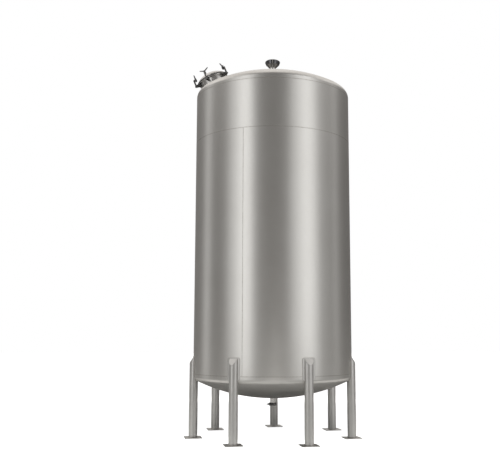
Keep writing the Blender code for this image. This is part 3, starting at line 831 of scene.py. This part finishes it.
def leg_weld_path():
    """Where the leg meets the pad and the bottom, from one top corner to the other."""
    face = TANK_RADIUS + PAD_THICKNESS
    across = (face**2 - TANK_RADIUS**2 - PIPE_RADIUS**2) / (2 * TANK_RADIUS * PIPE_RADIUS)
    edge = math.acos(across)
    corner = LEG_TOP_OUTSIDE + (PIPE_RADIUS - PIPE_RADIUS * across) * LEG_TOP_SLOPE

    def on_pipe(angle, height):
        x = TANK_RADIUS + PIPE_RADIUS * math.cos(angle)
        return Vector((x, PIPE_RADIUS * math.sin(angle), height))

    side_rows, under_rows = LEG_WELD_ROWS
    drop = (PAD_BOTTOM - corner) / side_rows
    side = [on_pipe(edge, corner + drop * row) for row in range(side_rows + 1)]
    under = []
    for row in range(1, under_rows + 1):
        angle = edge + (math.pi - edge) * row / under_rows
        point = on_pipe(angle, 0)
        distance = math.hypot(point.x, point.y)
        under.append(on_pipe(angle, BOTTOM_SEAM - bottom_depth(distance)))
    half = side + under
    other = [Vector((point.x, -point.y, point.z)) for point in reversed(half[:-1])]
    return half + other


def make_pad():
    """One rolled plate with rounded corners on +X, as wide as it is bent."""
    bm = bmesh.new()
    half = PAD_WIDTH / 2
    corners = [(-half, PAD_BOTTOM), (half, PAD_BOTTOM), (half, PAD_TOP), (-half, PAD_TOP)]
    face = bm.faces.new([bm.verts.new((0, y, z)) for y, z in corners])
    rounded(bm, list(face.verts), PAD_CORNER, 6, "VERTICES")
    drawn_out(bm, list(bm.faces), (PAD_THICKNESS, 0, 0))
    for row in range(1, PAD_STRIPS):
        bmesh.ops.bisect_plane(
            bm,
            geom=[*bm.verts, *bm.edges, *bm.faces],
            dist=0.00001,
            plane_co=(0, -half + PAD_WIDTH * row / PAD_STRIPS, 0),
            plane_no=(0, 1, 0),
        )
    for vert in bm.verts:
        angle, radius = vert.co.y / TANK_RADIUS, TANK_RADIUS + GAP + vert.co.x
        vert.co = (radius * math.cos(angle), radius * math.sin(angle), vert.co.z)
    return bm


def pad_edge_path():
    """The outline of a pad on the shell, which its fillet weld follows."""
    aside, points = PAD_WIDTH / 2 - PAD_CORNER, []
    top, bottom = PAD_TOP - PAD_CORNER, PAD_BOTTOM + PAD_CORNER
    middles = ((aside, top), (-aside, top), (-aside, bottom), (aside, bottom))
    for corner, (y, z) in enumerate(middles):
        for row in range(PAD_CORNER_ROWS + 1):
            angle = math.pi / 2 * (corner + row / PAD_CORNER_ROWS)
            points.append((y + PAD_CORNER * math.cos(angle), z + PAD_CORNER * math.sin(angle)))
    path = []
    for first, second in zip(points, points[1:] + points[:1]):
        steps = max(1, round(math.dist(first, second) / PAD_WELD_STEP))
        for step in range(steps):
            y = first[0] + (second[0] - first[0]) * step / steps
            z = first[1] + (second[1] - first[1]) * step / steps
            angle = y / TANK_RADIUS
            radius = TANK_RADIUS + PAD_THICKNESS / 2
            path.append(Vector((radius * math.cos(angle), radius * math.sin(angle), z)))
    return path


def make_legs():
    pipe = mesh_of(make_leg_pipe(), "leg")
    pad = mesh_of(joined(make_pad()), "pad")
    bead = tube_along(pad_edge_path(), PAD_WELD_RADIUS, closed=True)
    pad_weld = mesh_of(joined(bead), "pad_weld")
    leg_weld = mesh_of(joined(tube_along(leg_weld_path(), LEG_WELD_RADIUS)), "leg_weld")
    half = FOOT_SIDE / 2
    for number in range(1, LEG_COUNT + 1):
        turn = Matrix.Rotation(FIRST_LEG + (number - 1) * LEG_STEP, 4, "Z")
        for word, mesh, material, node in (
            ("pipe_leg", pipe, pipe_steel, f"leg_{number}"),
            ("rolled_pad", pad, plate_steel, f"leg_pad_{number}"),
            ("pad_weld", pad_weld, ground_weld_steel, None),
            ("leg_weld", leg_weld, weld_steel, None),
        ):
            turned = mesh.copy()
            turned.transform(turn)
            piece = bpy.data.objects.new(f"{word}_{number}", turned)
            show_object(piece, material, "tank", node)
        centre = turn @ Vector((TANK_RADIUS, 0, 0))
        at = Matrix.Translation(centre) @ Matrix.Rotation(LEG_TURN, 4, "Z")
        plate = block((-half, -half, 0), (half, half, FOOT_THICKNESS), PLATE_SOFT, at)
        show(f"base_plate_{number}", plate, plate_steel, stands_for=f"foot_plate_{number}")
        weld = fillet(PIPE_RADIUS, FOOT_THICKNESS, PIPE_FILLET, sunk=0.001)
        bead = lathe(weld, LEG_ROUND, Matrix.Translation(centre))
        show(f"foot_weld_{number}", bead, weld_steel)


# Manway


def make_manway():
    inside = NECK_RADIUS - NECK_WALL
    neck = lathe(ring(inside, NECK_RADIUS, -NECK_DEPTH, NECK_TOP), MANWAY_ROUND, MANWAY, FINE_SOFT)
    show("manway_throat", neck, turned_steel, stands_for="manway_neck")
    drop = TOP_DISH[0] - math.sqrt(TOP_DISH[0] ** 2 - NECK_RADIUS**2)
    weld = fillet(NECK_RADIUS, -drop, PIPE_FILLET, sunk=0.003)
    show("manway_weld", lathe(weld, MANWAY_ROUND, MANWAY), weld_steel)
    low = NECK_TOP + GAP
    rim = ring(inside, RIM_RADIUS, low, low + RIM_THICKNESS)
    rim = lathe(rim, MANWAY_ROUND, MANWAY, RIM_SOFT)
    show("manway_flange", rim, turned_steel, stands_for="manway_rim")
    low += RIM_THICKNESS + GAP
    seal = ring(GASKET_INNER, GASKET_OUTER, low, low + GASKET_THICKNESS)
    seal = lathe(seal, MANWAY_ROUND, MANWAY, BAND_SOFT)
    show("manway_seal", seal, seal_rubber, "lid", "manway_gasket")

    outer, inner = dish_walls(LID_DISH, LID_DISH_RADIUS, LID_WALL, 0, *LID_ROWS)
    edge = 0.0014
    profile = [(radius, LID_TOP + depth) for radius, depth in reversed(outer)]
    profile += [(LID_RADIUS - edge, LID_TOP), (LID_RADIUS, LID_TOP - edge)]
    profile += [(LID_RADIUS, LID_BOTTOM + edge), (LID_RADIUS - edge, LID_BOTTOM)]
    profile += [(LID_DISH_RADIUS - LID_WALL, LID_BOTTOM)]
    profile += [(radius, LID_TOP + depth) for radius, depth in inner]
    lid = lathe(profile, MANWAY_ROUND, MANWAY, closed=False)
    show("dished_lid", lid, turned_steel, "lid", "manway_lid")


def make_clamp(number):
    place = MANWAY @ Matrix.Rotation(CLAMP_ANGLES[number], 4, "Z")
    label = number + 1
    body = f"clamp_{label}"
    half = EYE_WIDTH / 2
    eye = crossbar(PIVOT_CIRCLE, -half, half, PIVOT_HEIGHT, EYE_RADIUS, EYE_SIDES)
    outside, within = PIVOT_CIRCLE + YOKE_HALF, PIVOT_CIRCLE - YOKE_HALF
    outline = [
        (within, PIVOT_HEIGHT),
        (outside, PIVOT_HEIGHT),
        (outside, YOKE_TOP - YOKE_HALF),
        (outside - YOKE_HALF / 3, YOKE_TOP - YOKE_HALF / 3),
        (outside - YOKE_HALF, YOKE_TOP),
        (SCREW_CIRCLE, YOKE_TOP),
        (SCREW_CIRCLE, YOKE_TOP - 2 * YOKE_HALF),
        (within, YOKE_TOP - 2 * YOKE_HALF),
    ]
    bar = cut_plate(outline, -YOKE_THICKNESS / 2, YOKE_THICKNESS / 2, YOKE_SOFT)
    low, high = (SCREW_CIRCLE, 0, BOSS_BOTTOM), (SCREW_CIRCLE, 0, BOSS_TOP)
    boss = rod(low, high, BOSS_RADIUS, EYE_SIDES, BOSS_SOFT)
    yoke = placed(joined(eye, bar, boss), place)
    show(f"forged_yoke_{label}", yoke, forged_steel, body, f"clamp_yoke_{label}")

    valley, height = SCREW_RADIUS - THREAD_DEPTH, BOSS_TOP
    thread = [(0, BOSS_TOP)]
    while height > FOOT_PAD_TOP:
        thread += [(SCREW_RADIUS, height), (valley, height - THREAD_PITCH / 2)]
        height -= THREAD_PITCH
    thread += [(valley, FOOT_PAD_TOP), (0, FOOT_PAD_TOP)]
    at_screw = Matrix.Translation((SCREW_CIRCLE, 0, 0))
    stem = lathe(thread, BAR_SIDES, at_screw, closed=False)
    low, high = (SCREW_CIRCLE, 0, FOOT_PAD_BOTTOM), (SCREW_CIRCLE, 0, FOOT_PAD_TOP)
    swivel = rod(low, high, FOOT_PAD_RADIUS)
    hub = [
        (0, WING_HUB_TOP),
        (SCREW_RADIUS, WING_HUB_TOP),
        (WING_HUB_RADIUS - HUB_TAPER[0], WING_HUB_TOP - HUB_TAPER[1]),
        (WING_HUB_RADIUS, BOSS_TOP + HUB_BAND),
        (WING_HUB_RADIUS, BOSS_TOP + GAP),
        (0, BOSS_TOP + GAP),
    ]
    hub = lathe(hub, EYE_SIDES, at_screw, closed=False)
    root = Vector((SCREW_CIRCLE, 0, WING_ROOT))
    wings = []
    for side in (-1, 1):
        tip = Vector((0, side * math.sin(WING_SPREAD), math.cos(WING_SPREAD)))
        tip = Matrix.Rotation(WING_TURNS[number], 3, "Z") @ tip * WING_LENGTH
        path = [root + tip * step for step in WING_STEPS]
        wings.append(tube_along(path, WING_BAR_RADIUS, radii=WING_WIDTHS))
    screw = placed(joined(stem, swivel, hub, *wings), place)
    show(f"wing_handle_{label}", screw, forged_steel, body, f"wing_screw_{label}")
    make_clamp_bracket(label, place)


def make_clamp_bracket(label, place):
    inner = EYE_WIDTH / 2 + EAR_CLEARANCE
    outer = inner + EAR_THICKNESS
    half = EAR_REACH / 2
    outline = [
        (WEB_ROOT, EAR_TOP),
        (WEB_ROOT, EAR_FOOT),
        (WEB_FACE, EAR_FOOT),
        (PIVOT_CIRCLE + half, PIVOT_HEIGHT - EAR_REACH),
        (PIVOT_CIRCLE + EAR_REACH, PIVOT_HEIGHT - half),
        (PIVOT_CIRCLE + EAR_REACH, PIVOT_HEIGHT + half),
        (PIVOT_CIRCLE + half, PIVOT_HEIGHT + EAR_REACH),
        (PIVOT_CIRCLE - EAR_REACH, EAR_TOP),
    ]
    parts = [block((WEB_ROOT, -outer, EAR_FOOT), (WEB_FACE, outer, EAR_TOP), BLOCK_SOFT)]
    for side in (-1, 1):
        near, far = sorted((side * inner, side * outer))
        parts.append(cut_plate(outline, near, far, PLATE_SOFT))
        near, far = side * outer, side * (outer + PIN_HEAD_HEIGHT)
        head = crossbar(PIVOT_CIRCLE, near, far, PIVOT_HEIGHT, PIN_HEAD_RADIUS, soften=FINE_SOFT)
        parts.append(head)
    parts.append(crossbar(PIVOT_CIRCLE, -outer, outer, PIVOT_HEIGHT, PIN_RADIUS))
    bracket = placed(joined(*parts), place)
    node = f"clamp_bracket_{label}"
    show(f"forged_bracket_{label}", bracket, forged_steel, stands_for=node)


def make_hinge():
    place = MANWAY @ Matrix.Rotation(HINGE_ANGLE, 4, "Z")
    half = HINGE_ARM_HALF
    outer = half + EAR_CLEARANCE + HINGE_EAR_THICKNESS
    outside = HINGE_CIRCLE + HINGE_EYE_RADIUS
    top = HINGE_HEIGHT + HINGE_EYE_RADIUS
    low, high = (WEB_ROOT, -outer, HINGE_EAR_FOOT), (WEB_FACE, outer, HINGE_EAR_STEP)
    parts = [block(low, high, BLOCK_SOFT)]
    outline = [
        (WEB_ROOT, HINGE_EAR_FOOT),
        (HINGE_EAR_INSIDE, HINGE_EAR_FOOT),
        (outside, HINGE_EAR_STEP),
        (outside, top - HINGE_EAR_CORNER),
        (outside - HINGE_EAR_CORNER, top),
        (HINGE_CIRCLE - HINGE_EYE_RADIUS, top),
        (HINGE_EAR_INSIDE, HINGE_EAR_STEP),
        (WEB_ROOT, HINGE_EAR_STEP),
    ]
    for side in (-1, 1):
        near, far = sorted((side * (half + EAR_CLEARANCE), side * outer))
        parts.append(cut_plate(outline, near, far, PLATE_SOFT))
    bracket = placed(joined(*parts), place)
    show("hinge_ears", bracket, forged_steel, stands_for="hinge_bracket")
    ends = (-outer - PIN_END, outer + PIN_END)
    pin = crossbar(HINGE_CIRCLE, *ends, HINGE_HEIGHT, PIN_RADIUS, BAR_SIDES, PLATE_SOFT, place)
    show("hinge_pivot_pin", pin, turned_steel, stands_for="hinge_pin")
    low = LID_TOP + GAP
    near, far = (HINGE_ARM_INNER, -half, low), (HINGE_CIRCLE, half, low + HINGE_ARM_THICKNESS)
    strap = block(near, far, BAND_SOFT)
    eye = crossbar(HINGE_CIRCLE, -half, half, HINGE_HEIGHT, HINGE_EYE_RADIUS, EYE_SIDES)
    arm = placed(joined(strap, eye), place)
    show("hinge_strap", arm, forged_steel, "lid", "hinge_arm")


# Vent and outlet


def make_vent():
    under = roof_height(0) - NOZZLE_INSIDE
    inside = VENT_RADIUS - VENT_WALL
    pipe = lathe(ring(inside, VENT_RADIUS, under, VENT_PIPE_TOP), VENT_ROUND)
    show("vent_pipe", pipe, turned_steel, stands_for="vent_nozzle")
    base = roof_height(VENT_RADIUS)
    weld = fillet(VENT_RADIUS, base, NOZZLE_FILLET, sunk=0.002)
    joint = round_bead(VENT_RADIUS, VENT_PIPE_TOP, *VENT_WELD, VENT_ROUND)
    show("vent_weld", joined(lathe(weld, VENT_ROUND), joint), weld_steel)
    low, high = VENT_PIPE_TOP + GAP, VENT_CONE_TOP
    cone = [
        (inside, low),
        (VENT_RADIUS, low),
        (VENT_CONE_RADIUS, high),
        (VENT_CONE_RADIUS - VENT_WALL, high),
    ]
    # The flare and the dome carry a painted dark reflection in their colour
    show("vent_flare", lathe(cone, VENT_ROUND), flare_steel_painted_dark, stands_for="vent_cone")
    outer, inner = cap_profile(0), cap_profile(VENT_WALL)
    low = VENT_CONE_TOP + GAP
    lip = [(VENT_CONE_RADIUS + VENT_WALL, low), (VENT_CONE_RADIUS - VENT_WALL, low)]
    cap = lathe(outer + lip + inner[::-1], VENT_ROUND, closed=False)
    show("vent_dome", cap, cap_steel_painted_dark, stands_for="vent_cap")


def make_vent_highlight_strap():
    """A bright strap from the vent's pipe over the cap and down again, front to back: a painted
    highlight down the cap's middle.
    """
    side = [*cap_profile(0), (VENT_CONE_RADIUS, VENT_CONE_TOP), (VENT_RADIUS, VENT_PIPE_TOP)]
    outer, inner = [], []
    for index, point in enumerate(side):
        before, after = side[max(0, index - 1)], side[min(len(side) - 1, index + 1)]
        along = Vector((after[0] - before[0], after[1] - before[1])).normalized()
        away = Vector((-along.y, along.x)) if index else Vector((0, 1))
        outer.append(Vector(point) + STRAP_OUTSIDE * away)
        inner.append(Vector(point) - STRAP_INSIDE * away)
    half = [(point.x, point.y) for point in outer + inner[::-1]]
    outline = half + [(-x, z) for x, z in half[-2:0:-1]]
    turn = Matrix.Rotation(VIEW_TURN + math.pi / 2, 4, "Z")
    strap = cut_plate(outline, -STRAP_HALF, STRAP_HALF, STRAP_SOFT, turn)
    show("vent_cap_highlight_strap", strap, turned_steel)


def cap_profile(inset):
    radius, top = VENT_CAP_RADIUS - inset, VENT_CAP_TOP - inset
    rise = top - VENT_CAP_WIDEST - VENT_CAP_BAND
    points = []
    for row in range(VENT_CAP_ROWS + 1):
        angle = math.pi / 2 * row / VENT_CAP_ROWS
        points.append((radius * math.sin(angle), top - rise * (1 - math.cos(angle))))
    points.append((radius, VENT_CAP_WIDEST - VENT_CAP_BAND))
    return points


def make_outlet():
    apex = BOTTOM_SEAM - bottom_depth(0)
    bore = OUTLET_RADIUS - OUTLET_WALL
    neck = FERRULE_JOINT + FERRULE_THICKNESS
    stub = [
        (bore, apex + NOZZLE_INSIDE),
        (bore, FERRULE_JOINT),
        (FERRULE_RADIUS, FERRULE_JOINT),
        (FERRULE_RADIUS, neck),
        (OUTLET_RADIUS, neck + OUTLET_WALL),
        (OUTLET_RADIUS, apex + NOZZLE_INSIDE),
    ]
    show("outlet_stub", lathe(stub, OUTLET_ROUND), turned_steel, stands_for="outlet_nozzle")
    base = BOTTOM_SEAM - bottom_depth(OUTLET_RADIUS)
    weld = [
        (OUTLET_RADIUS - FILLET_ROOT, base + FILLET_EASE),
        (OUTLET_RADIUS + NOZZLE_FILLET, base + FILLET_EASE),
        (OUTLET_RADIUS + NOZZLE_FILLET - FILLET_EASE / 2, base - FILLET_EASE),
        (OUTLET_RADIUS - FILLET_ROOT, base - NOZZLE_FILLET),
    ]
    show("outlet_weld", lathe(weld, OUTLET_ROUND), weld_steel)
    top = FERRULE_JOINT - GAP
    cap = [
        (0, top),
        (FERRULE_RADIUS, top),
        (FERRULE_RADIUS, top - FERRULE_THICKNESS),
        (OUTLET_RADIUS, top - FERRULE_THICKNESS - OUTLET_WALL),
        (OUTLET_RADIUS, OUTLET_CAP_BOTTOM + OUTLET_CAP_CORNER),
        (OUTLET_RADIUS - OUTLET_CAP_CORNER, OUTLET_CAP_BOTTOM),
        (0, OUTLET_CAP_BOTTOM),
    ]
    blank = lathe(cap, OUTLET_ROUND, closed=False)
    show("outlet_blank", blank, turned_steel, stands_for="outlet_cap")
    groove = FERRULE_THICKNESS + OUTLET_WALL + 2 * GAP
    lip, root = OUTLET_RADIUS + 2 * GAP, FERRULE_RADIUS + 2 * GAP
    high, low = FERRULE_JOINT + CLAMP_BAND_HALF, FERRULE_JOINT - CLAMP_BAND_HALF
    band = [
        (lip, low),
        (CLAMP_BAND_RADIUS - CLAMP_BAND_WALL, low),
        (CLAMP_BAND_RADIUS, low + CLAMP_BAND_WALL),
        (CLAMP_BAND_RADIUS, high - CLAMP_BAND_WALL),
        (CLAMP_BAND_RADIUS - CLAMP_BAND_WALL, high),
        (lip, high),
        (lip, FERRULE_JOINT + groove),
        (root, FERRULE_JOINT + groove),
        (root, FERRULE_JOINT - groove),
        (lip, FERRULE_JOINT - groove),
    ]
    clamp = joined(lathe(band, OUTLET_ROUND, soften=BAND_SOFT), *outlet_clamp_nut())
    show("outlet_clamp_band", clamp, forged_steel, stands_for="outlet_clamp")


def outlet_clamp_nut():
    """The lugs, bolt and wing nut that draw the clamp's halves together, on the left."""
    turn = Matrix.Rotation(VIEW_TURN, 4, "Z")
    x, z = -CLAMP_BAND_RADIUS, FERRULE_JOINT
    parts = []
    for side in (-1, 1):
        y = side * LUG_DISTANCE
        low = (x - LUG_REACH[0], y - LUG_HALF_THICKNESS, z - LUG_HALF_HEIGHT)
        high = (x + LUG_REACH[1], y + LUG_HALF_THICKNESS, z + LUG_HALF_HEIGHT)
        parts.append(block(low, high, RIM_SOFT, turn))
    x -= BOLT_DISTANCE
    parts.append(crossbar(x, *BOLT_ENDS, z, BOLT_RADIUS, BOLT_SIDES, FINE_SOFT, turn))
    parts.append(crossbar(x, *NUT_ENDS, z, NUT_RADIUS, NUT_SIDES, BLOCK_SOFT, turn))
    middle = Vector((x, sum(NUT_ENDS) / 2, z))
    for side in (-1, 1):
        tip = Vector((side * NUT_WING[0], NUT_WING[1], 0))
        path = [middle + tip * step for step in NUT_WING_STEPS]
        wing = tube_along(path, NUT_WING_RADIUS, radii=NUT_WING_WIDTHS, place=turn)
        parts.append(wing)
    return parts


# Stage

FLOOR_REACH = 60
# The floor looks white to the camera, and the steel mirrors the painted shade and light below
FLOOR_GLOW = 0.97
# Painted shade on the floor, by distance from a spot behind the tank's axis: a painted shadow
# darkest under the tank's back and behind it, painted light under its front edge, dimmer further
# out
FLOOR_PAINTED_SHADOW_CENTRE = 3.0
FLOOR_PAINTED_SHADES = {2.0: 0.16, 2.4: 0.22, 2.7: 0.31, 3.0: 0.41, 3.2: 0.60, 3.4: 0.80, 3.6: 0.92}
FLOOR_PAINTED_SHADES |= {4.2: 0.92, 5.2: 0.50, 6.2: 0.36, 9.0: 0.42}
# A painted pool of light: a white strip on the floor in front of the tank, which the legs and the
# bottom mirror, and where its edges fade
STRIP_MIDDLE = -0.2
STRIP_SIDE_FADE = (0.6, 1.4)
STRIP_END_FADE = (-3.4, -2.6)
PAINTED_LIGHT_STRIP_COLOR = (0.95, 0.95, 0.94)

# The room that the steel mirrors. Fades run over the direction's Y, Z or X
ROOM_COLOR = (1, 0.96, 0.925, 1)
ROOM_STRENGTH = 0.22
WALL_STRENGTH = 0.75
WALL_FADE_Y = (-0.3, -0.1)
WALL_FADE_Z = (0.40, 0.50)
DIM_STRENGTH = 0.045
DIM_FADE_X = (0.2, 0.4)
DIM_FADE_Y = (0.35, 0.55)

# Tall soft boxes: name, azimuth, distance, width and power
SOFT_BOX_HEIGHT = 15
SOFT_BOX_MIDDLE = 7.6
SOFT_BOXES = (
    ("left_front_box", -37, 9, 3.0, 100),
    ("left_front_haze", -45, 9.5, 6.0, 165),
    ("right_front_box", 48, 9, 3.0, 72),
    ("right_front_haze", 45, 9.5, 7.2, 220),
    ("right_side_haze", 77, 9.5, 2.6, 20),
    ("left_back_box", -103, 9, 2.2, 62),
    ("right_back_box", 97, 9, 1.8, 30),
)
FLOOR_LIGHT_SIZE = (10, 8)
FLOOR_LIGHT_POWER = 450
FLOOR_LIGHT_SPOT = (-2, -6, 9)

# The camera that took the photo, fitted to the shell's edges, the seams and the foot plates
LENS = 53.9
LENS_SHIFT = -0.0452
CAMERA_SPOT = (0, -11.568, 1.466)
CAMERA_TILT = math.radians(97.60)
VIEW_END = 200


def make_stage():
    bm = bmesh.new()
    bmesh.ops.create_grid(bm, x_segments=1, y_segments=1, size=FLOOR_REACH)
    floor = bpy.data.objects.new("floor", mesh_of(bm, "floor"))
    add_to_scene(floor)
    material = bpy.data.materials.new("pale_floor_painted_shade")
    material.use_nodes = True
    tree = material.node_tree
    tree.nodes.clear()
    coords = tree.nodes.new("ShaderNodeTexCoord").outputs["Object"]
    # The floor's colour is painted shade and light, which the steel mirrors
    centre = (0, FLOOR_PAINTED_SHADOW_CENTRE, 0)
    reach = add_node(tree, "ShaderNodeVectorMath", {0: coords, 1: centre})
    reach.operation = "DISTANCE"
    span = max(FLOOR_PAINTED_SHADES)
    share = math_node(tree, "DIVIDE", reach.outputs["Value"], span)
    ramp = add_node(tree, "ShaderNodeValToRGB", {"Fac": share})
    stops = ramp.color_ramp.elements
    for stop, (distance, shade) in enumerate(FLOOR_PAINTED_SHADES.items()):
        element = stops[stop] if stop < len(stops) else stops.new(distance / span)
        element.position = distance / span
        element.color = (shade, shade, 0.985 * shade, 1)
    # The painted pool of light in front of the tank, mixed over the painted shade
    axes = axes_of(tree, coords)
    aside = math_node(tree, "ABSOLUTE", math_node(tree, "SUBTRACT", axes["X"], STRIP_MIDDLE))
    aside = ranged(tree, aside, 1, 0, *STRIP_SIDE_FADE)
    ahead = ranged(tree, axes["Y"], 1, 0, *STRIP_END_FADE)
    strip = math_node(tree, "MULTIPLY", aside, ahead)
    color = mixed_color(tree, strip, ramp.outputs["Color"], PAINTED_LIGHT_STRIP_COLOR)
    diffuse = add_node(tree, "ShaderNodeBsdfDiffuse", {"Color": color})
    seen = tree.nodes.new("ShaderNodeLightPath").outputs["Is Camera Ray"]
    strength = math_node(tree, "MULTIPLY", seen, FLOOR_GLOW)
    glow = add_node(tree, "ShaderNodeEmission", {"Strength": strength})
    both = add_node(tree, "ShaderNodeAddShader", {0: diffuse.outputs[0], 1: glow.outputs[0]})
    add_node(tree, "ShaderNodeOutputMaterial", {"Surface": both.outputs[0]})
    floor.data.materials.append(material)


def make_world():
    """A pale grey room with a white wall behind the tank. The camera sees white all round."""
    world = bpy.data.worlds.new("studio")
    bpy.context.scene.world = world
    world.use_nodes = True
    tree = world.node_tree
    tree.nodes.clear()
    axes = axes_of(tree, tree.nodes.new("ShaderNodeTexCoord").outputs["Generated"])
    behind = ranged(tree, axes["Y"], 0, WALL_STRENGTH, *WALL_FADE_Y)
    above = ranged(tree, axes["Z"], 0, 1, *WALL_FADE_Z)
    wall = math_node(tree, "MULTIPLY", behind, above)
    right = ranged(tree, axes["X"], 0, DIM_STRENGTH, *DIM_FADE_X)
    far = ranged(tree, axes["Y"], 0, 1, *DIM_FADE_Y)
    dim = math_node(tree, "MULTIPLY", right, far)
    strength = math_node(tree, "ADD", wall, ROOM_STRENGTH)
    strength = math_node(tree, "SUBTRACT", strength, dim)
    room = add_node(tree, "ShaderNodeBackground", {"Color": ROOM_COLOR, "Strength": strength})
    white = add_node(tree, "ShaderNodeBackground", {"Color": (1, 1, 1, 1)})
    seen = tree.nodes.new("ShaderNodeLightPath").outputs["Is Camera Ray"]
    inputs = {0: seen, 1: room.outputs[0], 2: white.outputs[0]}
    mix = add_node(tree, "ShaderNodeMixShader", inputs)
    add_node(tree, "ShaderNodeOutputWorld", {"Surface": mix.outputs[0]})


def area_light(name, size, power, place):
    """A rectangular light that shines along its own -Z and that the camera does not see."""
    light = bpy.data.lights.new(name, "AREA")
    light.shape = "RECTANGLE"
    light.size, light.size_y = size
    light.energy = power
    holder = bpy.data.objects.new(name, light)
    holder.matrix_world = place
    holder.visible_camera = False
    add_to_scene(holder)
    return holder


def make_lights():
    """Soft boxes round the tank. Azimuth 0 is towards the camera, and 90 to its right."""
    for name, azimuth, distance, width, power in SOFT_BOXES:
        angle = math.radians(azimuth - 90) + VIEW_TURN
        spot = Vector((distance * math.cos(angle), distance * math.sin(angle), SOFT_BOX_MIDDLE))
        aim = Vector((0, 0, SOFT_BOX_MIDDLE)) - spot
        turn = aim.to_track_quat("-Z", "Y").to_matrix().to_4x4()
        area_light(name, (width, SOFT_BOX_HEIGHT), power, Matrix.Translation(spot) @ turn)
    place = Matrix.Translation(FLOOR_LIGHT_SPOT)
    floor_light = area_light("floor_light", FLOOR_LIGHT_SIZE, FLOOR_LIGHT_POWER, place)
    floor_light.visible_glossy = False


def make_camera():
    camera = bpy.data.cameras.new("camera")
    camera.lens = LENS
    camera.shift_x = LENS_SHIFT
    camera.clip_end = VIEW_END
    holder = bpy.data.objects.new("camera", camera)
    holder.matrix_world = (
        Matrix.Rotation(VIEW_TURN, 4, "Z")
        @ Matrix.Translation(CAMERA_SPOT)
        @ Matrix.Rotation(CAMERA_TILT, 4, "X")
    )
    add_to_scene(holder)
    bpy.context.scene.camera = holder


make_camera()
make_shell()
make_heads()
make_legs()
make_manway()
for clamp_number in range(len(CLAMP_ANGLES)):
    make_clamp(clamp_number)
make_hinge()
make_vent()
make_vent_highlight_strap()
make_outlet()
make_stage()
make_world()
make_lights()
bpy.context.scene.view_settings.view_transform = "Standard"
